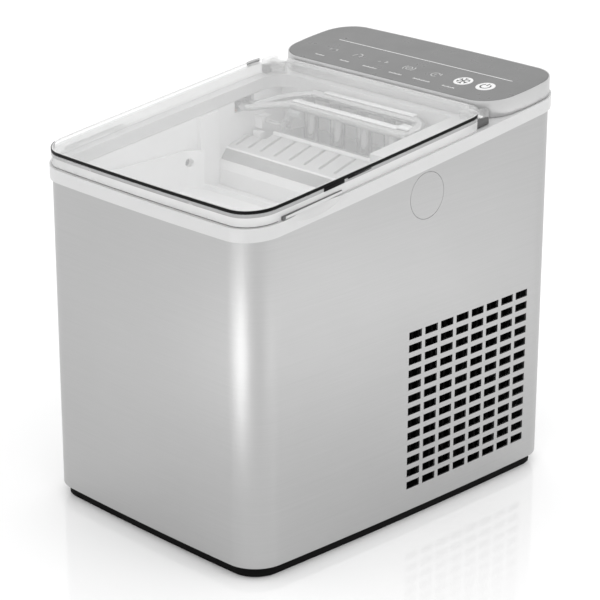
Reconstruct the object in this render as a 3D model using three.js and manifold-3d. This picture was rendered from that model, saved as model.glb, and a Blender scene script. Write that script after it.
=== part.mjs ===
// Countertop bullet ice maker. Millimetres, +Z up, front towards -Y, origin under the middle of the body.
import * as THREE from "three";
import { mergeVertices } from "three/examples/jsm/utils/BufferGeometryUtils.js";
import Module from "manifold-3d";

const wasm = await Module();
wasm.setup();

// ---------- driving dimensions ----------
const GAP = 0.3; // play left between pieces that touch
const BODY_W = 223;
const BODY_D = 311.5;
const BODY_R = 25;
const FRONT = -BODY_D / 2;
const SIDE_BOW = 2; // the steel sides bulge this far in the middle
const FRONT_BOW = 1.2;
const SHEET = 1.6; // steel skin with its backing
const STEEL_BOTTOM = 9;
const STEEL_FRONT_TOP = 245.9;
const SLOPE = 0.121; // the whole top rises to the rear
const RIM_PROUD = 2.05; // rim stands outside the steel
const RIM_H = 9.85;
const LID_TOP = 21.45; // lid top above the steel edge
const LID_INSET = 2.1;
const LID_WALL = 3;
const LID_R = 23.5;
const LID_REAR = 74.5;
const LID_SKIRT_REAR = 61.7; // the skirt stops ahead of the hinges
const LID_REAR_R = 20; // plan radius of the lid's rear corners
const LID_REAR_X = 113.4;
const TRIM_H = 2.2; // dark line round the lid's top edge
const TRIM_T = 0.75;
const PIVOT_Y = 69;
const PIVOT_Z = 289.5;
const PIN_R = 1.6;
const PIN_PLAY = 0.25;
const KNUCKLE = [92, 104.2]; // lid knuckle, from and to along X
const BARREL_R = 4.6;
const PIN_SKIN = 1.6; // plastic left over the outer end of a pin
const BLOCK_BEVEL = 3;
const BLOCK = { outer: 111, front: 62.5, rear: 75.5, top: 292 }; // hinge block on the rim
const CONSOLE_FRONT = 78;
const CONSOLE_R = 25;
const PANEL_Z = 296.7; // panel top at the console's front edge
const PANEL_SLOPE = 0.126;
const OVERLAY_T = 1.2;
const BUTTON_R = 7.4;
const BUTTON_Y = 105.2;
const SELECT_X = 59.3;
const POWER_X = 80.8;
const SCOOP_Y = -101;
const SCOOP_LEN = 52;
const TUB_W = 209;
const TUB_WALL = 3;
const TUB_FRONT = -149.5;
const TUB_REAR = 84;
const MOUTH_REAR = 72; // rear edge of the opening in the rim
const WELL_FLOOR = 207.5;
const REAR_FLOOR = 190;
const RESERVOIR_FLOOR = 150;
const STEP_Y = -12; // tub sides step inwards behind this line
const STEP_X = 98;
const SHELF_X = 78; // the rim covers the motor to the right of this line
const RESERVOIR = { x: 95, front: -141, rear: -15, r: 14, wall: 3 };
const FOAM_T = 7; // foam round the reservoir
const FOAM_BOTTOM = 155;
const PARTITION_Y = -13.6; // sheet between the pump and the cooling plant
const WEIR_FRONT = 7;
const WEIR_REAR = 22;
const WEIR_TOP = 226;
const WEIR_BEVEL = [3.5, 6]; // depth and height of the weir's sloping edge
const MAKER_LEFT = -101.5;
const MAKER_RIGHT = 62;
const MAKER_REAR = 80;
const HOUSE_FRONT = 45; // tray motor housing
const HOUSE_TOP = 266;
const CLIP_W = 8; // bearing clip for the tray axle
const TRAY_PIVOT = [52, 250];
const TRAY_LEFT = -74;
const TRAY_RIGHT = 58;
const TRAY_DEPTH = 26; // tray floor below its axle
const TRAY_WALL = 1.7;
const AXLE_R = 1.9;
const AXLE_BORE = 2.2;
const COMB_FRONT = 17.5;
const COMB_REAR = 46;
const COMB_Z = 236; // comb surface at the back of the weir
const COMB_SLOPE = 0.31;
const COMB_T = 3;
const COMB_PITCH = 15.8;
const COMB_PITCH_LEFT = 13.3; // the two short slots stand closer
const COMB_SLOTS = 12;
const SLOT_X = -69.5; // first long slot
const SLOT_W = 2.8;
const SHOVEL_X = [-78, 59];
const BAR_A = [50, 269]; // front evaporator bar, y and z
const BAR_B = [67, 275];
const BAR_R = 3.9;
const BRACKET_X = [56.2, 61.7];
const BRACKET_T = 1.6;
const FINGER_PITCH = 28;
const FINGER_R = 4.5;
const FINGER_TIP = 238;
const BASKET = { x: 100.4, front: -145, r: 16, wall: 2.2, floor: 2.4, top: 240, sill: 214 };
const EYE = { y: -24.4, z: 231, r: 3.6, lens: 3.2 }; // ice level sensors
const VENT_COLS = 8;
const VENT_ROWS = 13;
const VENT_W = 13.2;
const VENT_H = 5.7;
const VENT_PITCH_Y = 16.66;
const VENT_PITCH_Z = 9.66;
const VENT_Y = 0.35; // middle of the first column
const VENT_Z = 29.1; // middle of the lowest row
const FAN_Y = 59;
const FAN_Z = 87;
const FAN_DUCT = 54;
const FAN_BLADES = 7;
const CAP_R = 17;
const CAP_Y = 9.4;
const CAP_Z = 246.1;
const PAN_INSET = 4.4;
const PAN_WALL = 3;
const PAN_BOTTOM = 0.8;
const PAN_TOP = 15;
const PAN_FLOOR = 5.5;
const FOOT_R = 9;
const FOOT_IN = [28, 30]; // feet in from the sides and from the ends
const REAR_WINDOW_X = 80;
const REAR_WINDOW_Z = [20, 262];
const REAR_Y = BODY_D / 2 - SHEET - GAP; // outer face of the rear panel
const REAR_T = 1.5;
const DRAIN = [20, 42];
const GLAND = [-50, 42];
const CORD_R = 3.8;
const PUMP = { x: 60, y: -60, r: 19, low: 98, high: 128 };
const HOSE_R = 3.6;
const POT = { x: -42, y: 68, r: 47, low: 13.6, high: 141 }; // compressor shell
const COIL_X = [84, 106];
const COIL_Y = [-4, 122];
const COIL_Z = [26, 148];
const DRIER = { x: 36, y: 136, low: 58, high: 124, r: 8 };
const CURVE = 4; // segments per outline arc
const ROUND = 14; // segments round a plain cylinder

// ---------- colours ----------
const LOOKS = {
  steel: [0xc2c2c2, 0.32, 1],
  white: [0xe6e6e6, 0.35, 0],
  silver: [0xbdbdbd, 0.35, 0.8],
  dark: [0x8c8c8c, 0.25, 0],
  button: [0xf2f2f2, 0.4, 0],
  black: [0x141414, 0.6, 0],
  rubber: [0x101010, 0.9, 0],
  clear: [0xe8ecec, 0.05, 0],
  grey: [0x6d6f70, 0.45, 0],
  tray: [0x9a9c9d, 0.4, 0],
  nickel: [0xd5d5d3, 0.15, 1],
  copper: [0xb87349, 0.35, 1],
  board: [0x1f5a34, 0.6, 0],
  foam: [0xf1f1ee, 0.9, 0],
  zinc: [0xa9adb0, 0.45, 1],
  fins: [0xbfc4c8, 0.4, 1],
  hose: [0xdfe3e4, 0.3, 0],
  enamel: [0x1b1b1c, 0.35, 0.2],
};

const group = new THREE.Group();
group.name = "ice_maker";

function material(look) {
  const [color, roughness, metalness] = LOOKS[look];
  const clear = look === "clear";
  const opacity = clear ? 0.35 : 1;
  return new THREE.MeshStandardMaterial({ color, roughness, metalness, transparent: clear, opacity });
}

// ---------- solids ----------
function solid(geometry) {
  const bare = geometry.clone();
  bare.deleteAttribute("normal");
  bare.deleteAttribute("uv");
  const merged = mergeVertices(bare, 1e-4);
  const triVerts = new Uint32Array(merged.index.array);
  const vertProperties = new Float32Array(merged.attributes.position.array);
  return new wasm.Manifold(new wasm.Mesh({ numProp: 3, vertProperties, triVerts }));
}

function place(name, body, look) {
  const out = body.getMesh();
  const geometry = new THREE.BufferGeometry();
  geometry.setAttribute("position", new THREE.BufferAttribute(new Float32Array(out.vertProperties), 3));
  geometry.setIndex(new THREE.BufferAttribute(new Uint32Array(out.triVerts), 1));
  geometry.computeVertexNormals();
  const mesh = new THREE.Mesh(geometry, material(look));
  mesh.name = name;
  group.add(mesh);
}

const join = (...parts) => parts.reduce((a, b) => a.add(b));
const cut = (body, ...tools) => tools.reduce((a, b) => a.subtract(b), body);

function box(x0, x1, y0, y1, z0, z1) {
  const geometry = new THREE.BoxGeometry(x1 - x0, y1 - y0, z1 - z0);
  geometry.translate((x0 + x1) / 2, (y0 + y1) / 2, (z0 + z1) / 2);
  return solid(geometry);
}

function slab(shape, z0, z1) {
  const options = { depth: z1 - z0, bevelEnabled: false, curveSegments: CURVE };
  const geometry = new THREE.ExtrudeGeometry(shape, options);
  geometry.translate(0, 0, z0);
  return solid(geometry);
}

// A side profile given as [y, z] points, run along X.
function profile(points, x0, x1) {
  const shape = new THREE.Shape(points.map(([y, z]) => new THREE.Vector2(y, z)));
  const geometry = new THREE.ExtrudeGeometry(shape, { depth: x1 - x0, bevelEnabled: false });
  geometry.applyMatrix4(new THREE.Matrix4().set(0, 0, 1, x0, 1, 0, 0, 0, 0, 1, 0, 0, 0, 0, 0, 1));
  return solid(geometry);
}

function lathe(points, segments = ROUND) {
  const outline2d = points.map(([r, h]) => new THREE.Vector2(r, h));
  return solid(new THREE.LatheGeometry(outline2d, segments).rotateX(Math.PI / 2));
}

const turns = {
  x: new THREE.Matrix4().makeRotationY(Math.PI / 2),
  y: new THREE.Matrix4().makeRotationX(-Math.PI / 2),
  z: new THREE.Matrix4(),
};

// Turns a solid made along Z onto another axis and moves it.
function aim(body, axis, x, y, z) {
  const matrix = new THREE.Matrix4().makeTranslation(x, y, z).multiply(turns[axis]);
  return body.transform(matrix.elements);
}

function rod(axis, radius, length, x, y, z, segments = ROUND) {
  return aim(lathe([[0, 0], [radius, 0], [radius, length], [0, length]], segments), axis, x, y, z);
}

// A round bar swept through a list of points with soft bends.
function tube(points, radius, steps, sides = 4) {
  const path = new THREE.CatmullRomCurve3(points.map((p) => new THREE.Vector3(...p)), false, "centripetal");
  const circle = new THREE.Shape();
  circle.absarc(0, 0, radius, 0, 2 * Math.PI);
  const options = { steps, bevelEnabled: false, extrudePath: path, curveSegments: sides };
  return solid(new THREE.ExtrudeGeometry(circle, options));
}

// Plan outline with round corners and sides that bow outwards.
function outline(x, y0, y1, r, side = 0, front = 0, rear = 0) {
  const shape = new THREE.Shape();
  const middle = (y0 + y1) / 2;
  shape.moveTo(-x + r, y0);
  shape.quadraticCurveTo(0, y0 - 2 * front, x - r, y0);
  shape.absarc(x - r, y0 + r, r, -Math.PI / 2, 0);
  shape.quadraticCurveTo(x + 2 * side, middle, x, y1 - r);
  shape.absarc(x - r, y1 - r, r, 0, Math.PI / 2);
  shape.quadraticCurveTo(0, y1 + 2 * rear, -x + r, y1);
  shape.absarc(-x + r, y1 - r, r, Math.PI / 2, Math.PI);
  shape.quadraticCurveTo(-x - 2 * side, middle, -x, y0 + r);
  shape.absarc(-x + r, y0 + r, r, Math.PI, 1.5 * Math.PI);
  return shape;
}

// The body outline grown outwards (or shrunk, when negative).
const bodyOutline = (grow) =>
  outline(BODY_W / 2 + grow, FRONT - grow, -FRONT + grow, BODY_R + grow, SIDE_BOW, FRONT_BOW);

const deck = (offset) => (y) => STEEL_FRONT_TOP + offset + SLOPE * (y - FRONT);
const level = (z) => () => z;
const panel = (offset) => (y) => PANEL_Z + offset + PANEL_SLOPE * (y - CONSOLE_FRONT);

// Keeps what lies between two sloping planes.
function between(shape, low, high, y0 = -200, y1 = 200) {
  const band = profile([[y0, low(y0)], [y1, low(y1)], [y1, high(y1)], [y0, high(y0)]], -200, 200);
  return slab(shape, -20, 420).intersect(band);
}

// ---------- body ----------
// A grid of rectangular holes; merge sets how many grid columns one hole takes in.
function ventHoles(x0, x1, merge) {
  const holes = [];
  for (let col = 0; col < VENT_COLS; col += merge) {
    for (let row = 0; row < VENT_ROWS; row += 1) {
      const y0 = VENT_Y + col * VENT_PITCH_Y - VENT_W / 2;
      const y1 = y0 + (merge - 1) * VENT_PITCH_Y + VENT_W;
      const z = VENT_Z + row * VENT_PITCH_Z;
      holes.push(box(x0, x1, y0, y1, z - VENT_H / 2, z + VENT_H / 2));
    }
  }
  return wasm.Manifold.compose(holes);
}

function buildWrap() {
  const outer = between(bodyOutline(0), level(STEEL_BOTTOM), deck(0));
  const inner = slab(bodyOutline(-SHEET), 0, 400);
  const window = box(-REAR_WINDOW_X, REAR_WINDOW_X, 140, 170, ...REAR_WINDOW_Z);
  const cap = rod("x", CAP_R + GAP, 20, 104, CAP_Y, CAP_Z, 28);
  const vents = join(ventHoles(100, 130, 1), ventHoles(-130, -100, 4));
  place("steel_wrap", cut(outer, inner, window, vents, cap), "steel");
  const knob = rod("x", CAP_R, 2.2, BODY_W / 2 + SIDE_BOW - 2.4, CAP_Y, CAP_Z, 28);
  const collar = rod("x", CAP_R - 3, 3, BODY_W / 2 + SIDE_BOW - 4.8, CAP_Y, CAP_Z, 28);
  place("side_cap", join(knob, collar), "steel");
}

function buildBase() {
  const body = slab(bodyOutline(-PAN_INSET), PAN_BOTTOM, PAN_TOP);
  const hollow = slab(bodyOutline(-PAN_INSET - PAN_WALL), PAN_FLOOR, 30);
  const sockets = footSpots().map(([x, y]) => rod("z", FOOT_R + GAP, 3.4, x, y, PAN_BOTTOM - 0.4));
  place("base_pan", cut(body, hollow, ...sockets), "black");
  const pad = lathe([[0, 0], [FOOT_R - 1, 0], [FOOT_R, 0.8], [FOOT_R, 3.5], [0, 3.5]]);
  for (const [x, y, name] of footSpots()) {
    place(`foot_${name}`, pad.translate([x, y, 0]), "rubber");
  }
}

function footSpots() {
  const x = BODY_W / 2 - FOOT_IN[0];
  const y = BODY_D / 2 - FOOT_IN[1];
  return [[-x, -y, "front_left"], [x, -y, "front_right"], [-x, y, "rear_left"], [x, y, "rear_right"]];
}

function buildRearPanel() {
  const half = REAR_WINDOW_X + 8;
  const plate = box(-half, half, REAR_Y - REAR_T, REAR_Y, REAR_WINDOW_Z[0] - 3, REAR_WINDOW_Z[1] + 6);
  const slots = [];
  for (let row = 0; row < 10; row += 1) {
    slots.push(box(-45, 45, REAR_Y - 5, REAR_Y + 5, 78 + row * 11, 82 + row * 11));
  }
  const drain = rod("y", 9, 10, DRAIN[0], REAR_Y - 5, DRAIN[1]);
  const gland = rod("y", 8, 10, GLAND[0], REAR_Y - 5, GLAND[1]);
  const screws = screwSpots().map(([x, z]) => rod("y", 2, 10, x, REAR_Y - 5, z, 12));
  place("rear_panel", cut(plate, ...slots, drain, gland, ...screws), "grey");
  screwSpots().forEach(([x, z], index) => {
    const head = rod("y", 3.6, 1.8, x, REAR_Y + GAP, z, 10);
    const shank = rod("y", 1.6, 5, x, REAR_Y - 4.5, z, 8);
    place(`rear_screw_${index + 1}`, join(head, shank), "zinc");
  });
}

function screwSpots() {
  const x = REAR_WINDOW_X - 6;
  const low = REAR_WINDOW_Z[0] + 6;
  const high = REAR_WINDOW_Z[1] - 8;
  return [[-x, low], [x, low], [-x, high], [x, high]];
}

function buildDrainAndGland() {
  const inner = REAR_Y - REAR_T - GAP; // just inside the rear panel
  const flange = rod("y", 12, 2.5, DRAIN[0], inner - 2.5, DRAIN[1]);
  const pipe = rod("y", 8.4, 7.7, DRAIN[0], inner - 2.5, DRAIN[1]);
  const barb = rod("y", 5.5, 12, DRAIN[0], REAR_Y - 15, DRAIN[1]);
  const bore = rod("y", 3.5, 40, DRAIN[0], REAR_Y - 25, DRAIN[1], 16);
  place("drain_spout", cut(join(flange, pipe, barb), bore), "white");
  const plug = rod("y", 3.1, 6.8, DRAIN[0], REAR_Y - 2.6, DRAIN[1], 16);
  const head = rod("y", 7.6, 1.3, DRAIN[0], REAR_Y + 3.7, DRAIN[1]);
  const grip = box(DRAIN[0] - 6, DRAIN[0] + 6, REAR_Y + 3.7, REAR_Y + 5.1, DRAIN[1] - 1.2, DRAIN[1] + 1.2);
  place("drain_cap", join(plug, head, grip), "black");
  const nut = rod("y", 11, 3, GLAND[0], inner - 3, GLAND[1]);
  const neck = rod("y", 7.6, 9, GLAND[0], REAR_Y - 4, GLAND[1]);
  const hole = rod("y", CORD_R, 40, GLAND[0], REAR_Y - 20, GLAND[1], 16);
  place("cord_gland", cut(join(nut, neck), hole), "black");
}

// ---------- rim, console and lid ----------
function buildRim() {
  const ring = between(bodyOutline(RIM_PROUD), deck(GAP), deck(RIM_H));
  const mouth = slab(outline(TUB_W / 2 - TUB_WALL, TUB_FRONT + TUB_WALL, MOUTH_REAR, 18), 200, 400);
  const shelf = box(SHELF_X, 120, STEP_Y, 100, 190, 410);
  const wireMouth = slab(outline(96, 84, 146, 14), 200, 400);
  const scoops = [-1, 1].map((side) => fingerScoop(side));
  place("top_rim", cut(ring, cut(mouth, shelf), wireMouth, ...scoops), "white");
}

// Shallow finger hollow under the lid's edge.
function fingerScoop(side) {
  const long = SCOOP_LEN / 2;
  const ball = new THREE.SphereGeometry(1, 20, 12).scale(5, long, 7);
  const tilted = ball.rotateX(Math.atan(SLOPE));
  tilted.translate(side * (BODY_W / 2 + RIM_PROUD + SIDE_BOW + 1.2), SCOOP_Y, deck(RIM_H)(SCOOP_Y));
  return solid(tilted);
}

function consoleOutline(grow) {
  const half = BODY_W / 2 + 0.4 + grow;
  const rear = -FRONT + 0.4 + grow;
  return outline(half, CONSOLE_FRONT - grow, rear, CONSOLE_R + grow, 0.6, 0, 1.2);
}

function buildConsole() {
  const body = between(consoleOutline(0), deck(RIM_H + GAP), panel(0));
  const recess = between(consoleOutline(-1.3), panel(-OVERLAY_T - GAP), panel(5));
  const inside = between(consoleOutline(-4.5), deck(0), panel(-4.2));
  const wells = [SELECT_X, POWER_X].map((x) => rod("z", BUTTON_R + 0.4, 40, x, BUTTON_Y, 280));
  place("console_housing", cut(body, recess, inside, ...wells), "silver");
  const plate = between(consoleOutline(-1.3 - GAP), panel(-OVERLAY_T), panel(-0.1));
  place("panel_overlay", cut(plate, ...wells), "dark");
  for (const [name, x] of [["select_button", SELECT_X], ["power_button", POWER_X]]) {
    const face = slab(disc(x, BUTTON_Y, BUTTON_R), 200, 400);
    const flange = slab(disc(x, BUTTON_Y, BUTTON_R + 1.6), 200, 400);
    const head = face.intersect(between(consoleOutline(0), panel(-7), panel(0.2)));
    const rim = flange.intersect(between(consoleOutline(0), panel(-6.4), panel(-4.8)));
    place(name, join(head, rim), "button");
  }
}

function disc(x, y, r) {
  const shape = new THREE.Shape();
  shape.absarc(x, y, r, 0, 2 * Math.PI);
  return shape;
}

function buildBoards() {
  const plan = outline(88, 88, 142, 3);
  const board = between(plan, panel(-11.8), panel(-10.2));
  const switches = [SELECT_X, POWER_X].map((x) =>
    between(square(x, BUTTON_Y, 3), panel(-10.4), panel(-8.3)));
  const lamps = [0, 1, 2, 3, 4, 5].map((i) =>
    between(square(-74 + i * 21, 105, 1.6), panel(-10.4), panel(-8)));
  place("control_board", join(board, ...switches, ...lamps), "board");
  const plate = box(-62, 62, -138, -86, 22, 23.6);
  const parts = [
    box(-50, -26, -128, -104, 23.5, 46),
    box(-14, 8, -126, -108, 23.5, 40),
    box(20, 50, -124, -100, 23.5, 38),
    rod("z", 6, 24, -40, -94, 23.5),
    rod("z", 5, 18, -20, -95, 23.5),
    box(-8, 10, -98, -89, 23.5, 34),
  ];
  const postSpots = [[-56, -132], [56, -132], [-56, -92], [56, -92]];
  const posts = postSpots.map(([x, y]) => rod("z", 3, 16, x, y, 6, 12));
  place("power_board", join(plate, ...parts, ...posts), "board");
}

function square(x, y, h) {
  const corners = [[x - h, y - h], [x + h, y - h], [x + h, y + h], [x - h, y + h]];
  return new THREE.Shape(corners.map(([a, b]) => new THREE.Vector2(a, b)));
}

// Lid plan: round front corners, square at the hinge.
function lidOutline(shrink) {
  const x = BODY_W / 2 + RIM_PROUD - LID_INSET - shrink;
  const y0 = FRONT - RIM_PROUD + LID_INSET + shrink;
  const r = LID_R - shrink;
  const shape = new THREE.Shape();
  shape.moveTo(-x + r, y0);
  shape.quadraticCurveTo(0, y0 - 2 * FRONT_BOW, x - r, y0);
  shape.absarc(x - r, y0 + r, r, -Math.PI / 2, 0);
  shape.quadraticCurveTo(x + 1.4 * SIDE_BOW, FRONT / 2, x + SIDE_BOW, LID_REAR + 20);
  shape.lineTo(-x - SIDE_BOW, LID_REAR + 20);
  shape.quadraticCurveTo(-x - 1.4 * SIDE_BOW, FRONT / 2, -x, y0 + r);
  shape.absarc(-x + r, y0 + r, r, Math.PI, 1.5 * Math.PI);
  return shape;
}

function buildLid() {
  const block = between(lidOutline(0), deck(RIM_H + GAP), deck(LID_TOP), -200, LID_REAR);
  const pocket = between(lidOutline(LID_WALL), deck(-5), deck(LID_TOP - LID_WALL));
  const groove = cut(between(lidOutline(-2), deck(LID_TOP - TRIM_H), deck(LID_TOP + 1)),
    slab(lidOutline(TRIM_T + 0.15), 200, 400));
  let body = cut(block, pocket, groove, rearCorner(-1), rearCorner(1));
  for (const side of [-1, 1]) {
    const start = side > 0 ? KNUCKLE[0] : -KNUCKLE[1];
    const length = KNUCKLE[1] - KNUCKLE[0];
    const barrel = rod("x", BARREL_R, length, start, PIVOT_Y, PIVOT_Z, 20);
    const webTop = deck(LID_TOP - 1)(PIVOT_Y - 4);
    const web = box(start, start + length, PIVOT_Y - 4, PIVOT_Y + 3, PIVOT_Z, webTop);
    const bore = rod("x", PIN_R + PIN_PLAY, 40, side * 98 - 20, PIVOT_Y, PIVOT_Z, 16);
    body = cut(join(body, barrel, web), bore);
  }
  place("lid", body, "clear");
  const end = LID_REAR - LID_REAR_R;
  const band = between(lidOutline(0), deck(LID_TOP - TRIM_H + 0.15), deck(LID_TOP), -200, end);
  place("lid_edge_trim", cut(band, slab(lidOutline(TRIM_T), 200, 400)), "black");
}

// What is taken off to round one rear corner of the lid.
function rearCorner(side) {
  const x = side * (LID_REAR_X - LID_REAR_R);
  const y = LID_REAR - LID_REAR_R;
  const square = side > 0 ? box(x, 130, y, 100, 250, 400) : box(-130, x, y, 100, 250, 400);
  const notch = side > 0 ? box(KNUCKLE[1] + 0.1, 130, LID_SKIRT_REAR, 100, 250, 400)
    : box(-130, -KNUCKLE[1] - 0.1, LID_SKIRT_REAR, 100, 250, 400);
  return cut(square, rod("z", LID_REAR_R, 200, x, y, 230, 32)).add(notch);
}

function buildHinges() {
  const low = deck(RIM_H + GAP);
  const { outer, front, rear, top } = BLOCK;
  const side = [
    [front, low(front)],
    [rear, low(rear)],
    [rear, top - BLOCK_BEVEL],
    [rear - BLOCK_BEVEL, top],
    [front + BLOCK_BEVEL, top],
    [front, top - 2],
  ];
  for (const [name, sign] of [["left", -1], ["right", 1]]) {
    const pinStart = sign > 0 ? KNUCKLE[0] - 0.5 : -outer + PIN_SKIN;
    const pinLength = outer - PIN_SKIN - KNUCKLE[0] + 0.5;
    place(`hinge_pin_${name}`, rod("x", PIN_R, pinLength, pinStart, PIVOT_Y, PIVOT_Z, 12), "nickel");
    const x = [sign * (KNUCKLE[1] + 0.5), sign * outer].sort((a, b) => a - b);
    const boreEnd = outer - PIN_SKIN + 0.4;
    const boreStart = sign > 0 ? 100 : -boreEnd;
    const bore = rod("x", PIN_R + PIN_PLAY, boreEnd - 100, boreStart, PIVOT_Y, PIVOT_Z, 16);
    place(`hinge_block_${name}`, cut(profile(side, ...x), bore), "grey");
  }
}

// ---------- tub and basket ----------
// Well that holds the basket, open to the ice maker behind it.
function buildTub() {
  const half = TUB_W / 2;
  const inner = half - TUB_WALL;
  const shell = between(outline(half, TUB_FRONT, TUB_REAR, 21), level(WELL_FLOOR - TUB_WALL), deck(0));
  const behind = box(-130, 130, WEIR_FRONT - GAP / 2, 130, 100, 400);
  const well = slab(outline(inner, TUB_FRONT + TUB_WALL, STEP_Y, 18), WELL_FLOOR, 400);
  const wellRear = box(-inner, inner, STEP_Y - 30, STEP_Y, WELL_FLOOR, 400);
  const passage = box(-STEP_X, SHELF_X, STEP_Y - 1, 40, WELL_FLOOR, 400);
  const waterHole = slab(waterOutline(), 190, WELL_FLOOR + 1);
  const eyes = rod("x", EYE.r, 260, -130, EYE.y, EYE.z, 16);
  place("tub", cut(shell, behind, well, wellRear, passage, waterHole, eyes), "white");
}

function waterOutline() {
  const { x, front, rear, r, wall } = RESERVOIR;
  return outline(x - wall, front + wall, rear - wall, r - wall);
}

function buildReservoir() {
  const { x, front, rear, r, wall } = RESERVOIR;
  const outer = slab(outline(x, front, rear, r), RESERVOIR_FLOOR - wall, WELL_FLOOR - TUB_WALL - GAP);
  const water = slab(waterOutline(), RESERVOIR_FLOOR, 300);
  const drainHole = rod("z", 5, 10, 0, PUMP.y, RESERVOIR_FLOOR - 6, 16);
  const pumpHole = rod("z", 5, 10, PUMP.x, PUMP.y, RESERVOIR_FLOOR - 6, 16);
  place("reservoir", cut(outer, water, returnChannel(), drainHole, pumpHole), "white");
}

// Way for the tray's spare water back into the reservoir.
function returnChannel() {
  return box(-20, 0, RESERVOIR.rear - 9, WEIR_REAR + 4, REAR_FLOOR, REAR_FLOOR + 9);
}

// Ice maker housing: weir, sump and the room for the tray motor, open to the right.
function buildMakerBox() {
  const half = TUB_W / 2;
  const low = REAR_FLOOR - TUB_WALL;
  const front = WEIR_FRONT + GAP / 2;
  const mainPoints = [
    [front, low],
    [TUB_REAR, low],
    [TUB_REAR, deck(0)(TUB_REAR)],
    [front, deck(0)(front)],
  ];
  const main = profile(mainPoints, -half, half);
  const toe = box(-half, half, RESERVOIR.rear + GAP, front + 1, low, WELL_FLOOR - TUB_WALL - GAP);
  const bevelZ = WEIR_TOP - WEIR_BEVEL[1];
  const passagePoints = [
    [front - 1, bevelZ],
    [front, bevelZ],
    [front + WEIR_BEVEL[0], WEIR_TOP],
    [MAKER_REAR, WEIR_TOP],
    [MAKER_REAR, 400],
    [front - 1, 400],
  ];
  const passage = profile(passagePoints, MAKER_LEFT, SHELF_X);
  const cavity = box(MAKER_LEFT, MAKER_RIGHT, WEIR_REAR, MAKER_REAR, REAR_FLOOR, 300);
  const hy0 = HOUSE_FRONT;
  const house = box(MAKER_RIGHT, 102, hy0, MAKER_REAR + 1, 200, HOUSE_TOP);
  const room = box(MAKER_RIGHT + TUB_WALL, half + 1, hy0 + 2, MAKER_REAR, 180, HOUSE_TOP - TUB_WALL);
  const [py, pz] = TRAY_PIVOT;
  const bearing = box(MAKER_LEFT - 1, MAKER_LEFT + CLIP_W, py - 5, py + 5, pz - 6, pz + 3.8);
  const shaftHole = rod("x", 3.4, 8, MAKER_RIGHT - 2, py, pz, 16);
  const axleHole = rod("x", AXLE_BORE, 14, MAKER_LEFT + 1, py, pz, 16);
  const pipeNotch = box(-110, MAKER_LEFT + 1, 26, 46, 259, 273);
  const hoseHole = rod("z", 4.6, 10, -86, 66, 184, 16);
  const open = cut(join(main, toe), passage, cavity, returnChannel());
  const shell = join(open, house, bearing);
  place("maker_box", cut(shell, room, shaftHole, axleHole, pipeNotch, hoseHole), "white");
}

function buildSensors() {
  for (const [name, side] of [["left", -1], ["right", 1]]) {
    const along = (from, to) => [side * from, side * to].sort((a, b) => a - b);
    const lens = rod("x", EYE.lens, 4.8, along(101, 105.8)[0], EYE.y, EYE.z, 16);
    const body = box(...along(104.8, 109), EYE.y - 6.6, EYE.y + 6.4, EYE.z - 6, EYE.z + 6);
    place(`ice_sensor_${name}`, join(lens, body), "grey");
  }
}

function buildBasket() {
  const { x, front, r, wall, floor, top, sill } = BASKET;
  const low = WELL_FLOOR + GAP;
  const rear = STEP_Y - 0.6;
  const outer = slab(outline(x, front, rear, r), low, top);
  const inner = slab(outline(x - wall, front + wall, rear - wall, r - wall), low + floor, top + 5);
  const mouth = box(-92, 92, rear - 4, rear + 3, sill, top + 5);
  const holes = [];
  for (let row = 0; row < 3; row += 1) {
    for (let col = 0; col < 7; col += 1) {
      const slotX = (col - 3) * 24;
      const slotY = -128 + row * 14;
      holes.push(box(slotX - 7, slotX + 7, slotY, slotY + 3, low - 5, low + 5));
    }
  }
  const eyes = rod("x", EYE.r - 0.2, 240, -120, EYE.y, EYE.z, 16);
  place("ice_basket", cut(outer, inner, mouth, eyes, ...holes), "white");
}

function buildJacket() {
  const { x, front, r } = RESERVOIR;
  const around = outline(x + FOAM_T, front - FOAM_T, 0, r + FOAM_T);
  const outer = slab(around, FOAM_BOTTOM, WELL_FLOOR - TUB_WALL - GAP);
  const inner = slab(outline(x + 0.5, front - 0.5, 10, r), 100, 300);
  place("foam_jacket", cut(outer, inner, box(-120, 120, -22, 40, 100, 300)), "foam");
  const sheetY = PARTITION_Y;
  const sheet = box(-106, 106, sheetY, sheetY + 1.2, PAN_TOP + 0.5, RESERVOIR_FLOOR - 4);
  const flange = box(-90, 90, sheetY, sheetY + 13.6, PAN_TOP + 0.5, PAN_TOP + 2);
  const fillWay = rod("y", 6, 20, -84, -25, 128, 16);
  const drainWay = rod("y", 7, 20, DRAIN[0], -25, DRAIN[1], 16);
  place("partition", cut(join(sheet, flange), fillWay, drainWay), "zinc");
}

// ---------- ice making ----------
// Height of the comb's sloping surface.
function combLine(y, offset) {
  return COMB_Z + offset + COMB_SLOPE * (y - WEIR_REAR);
}

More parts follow.
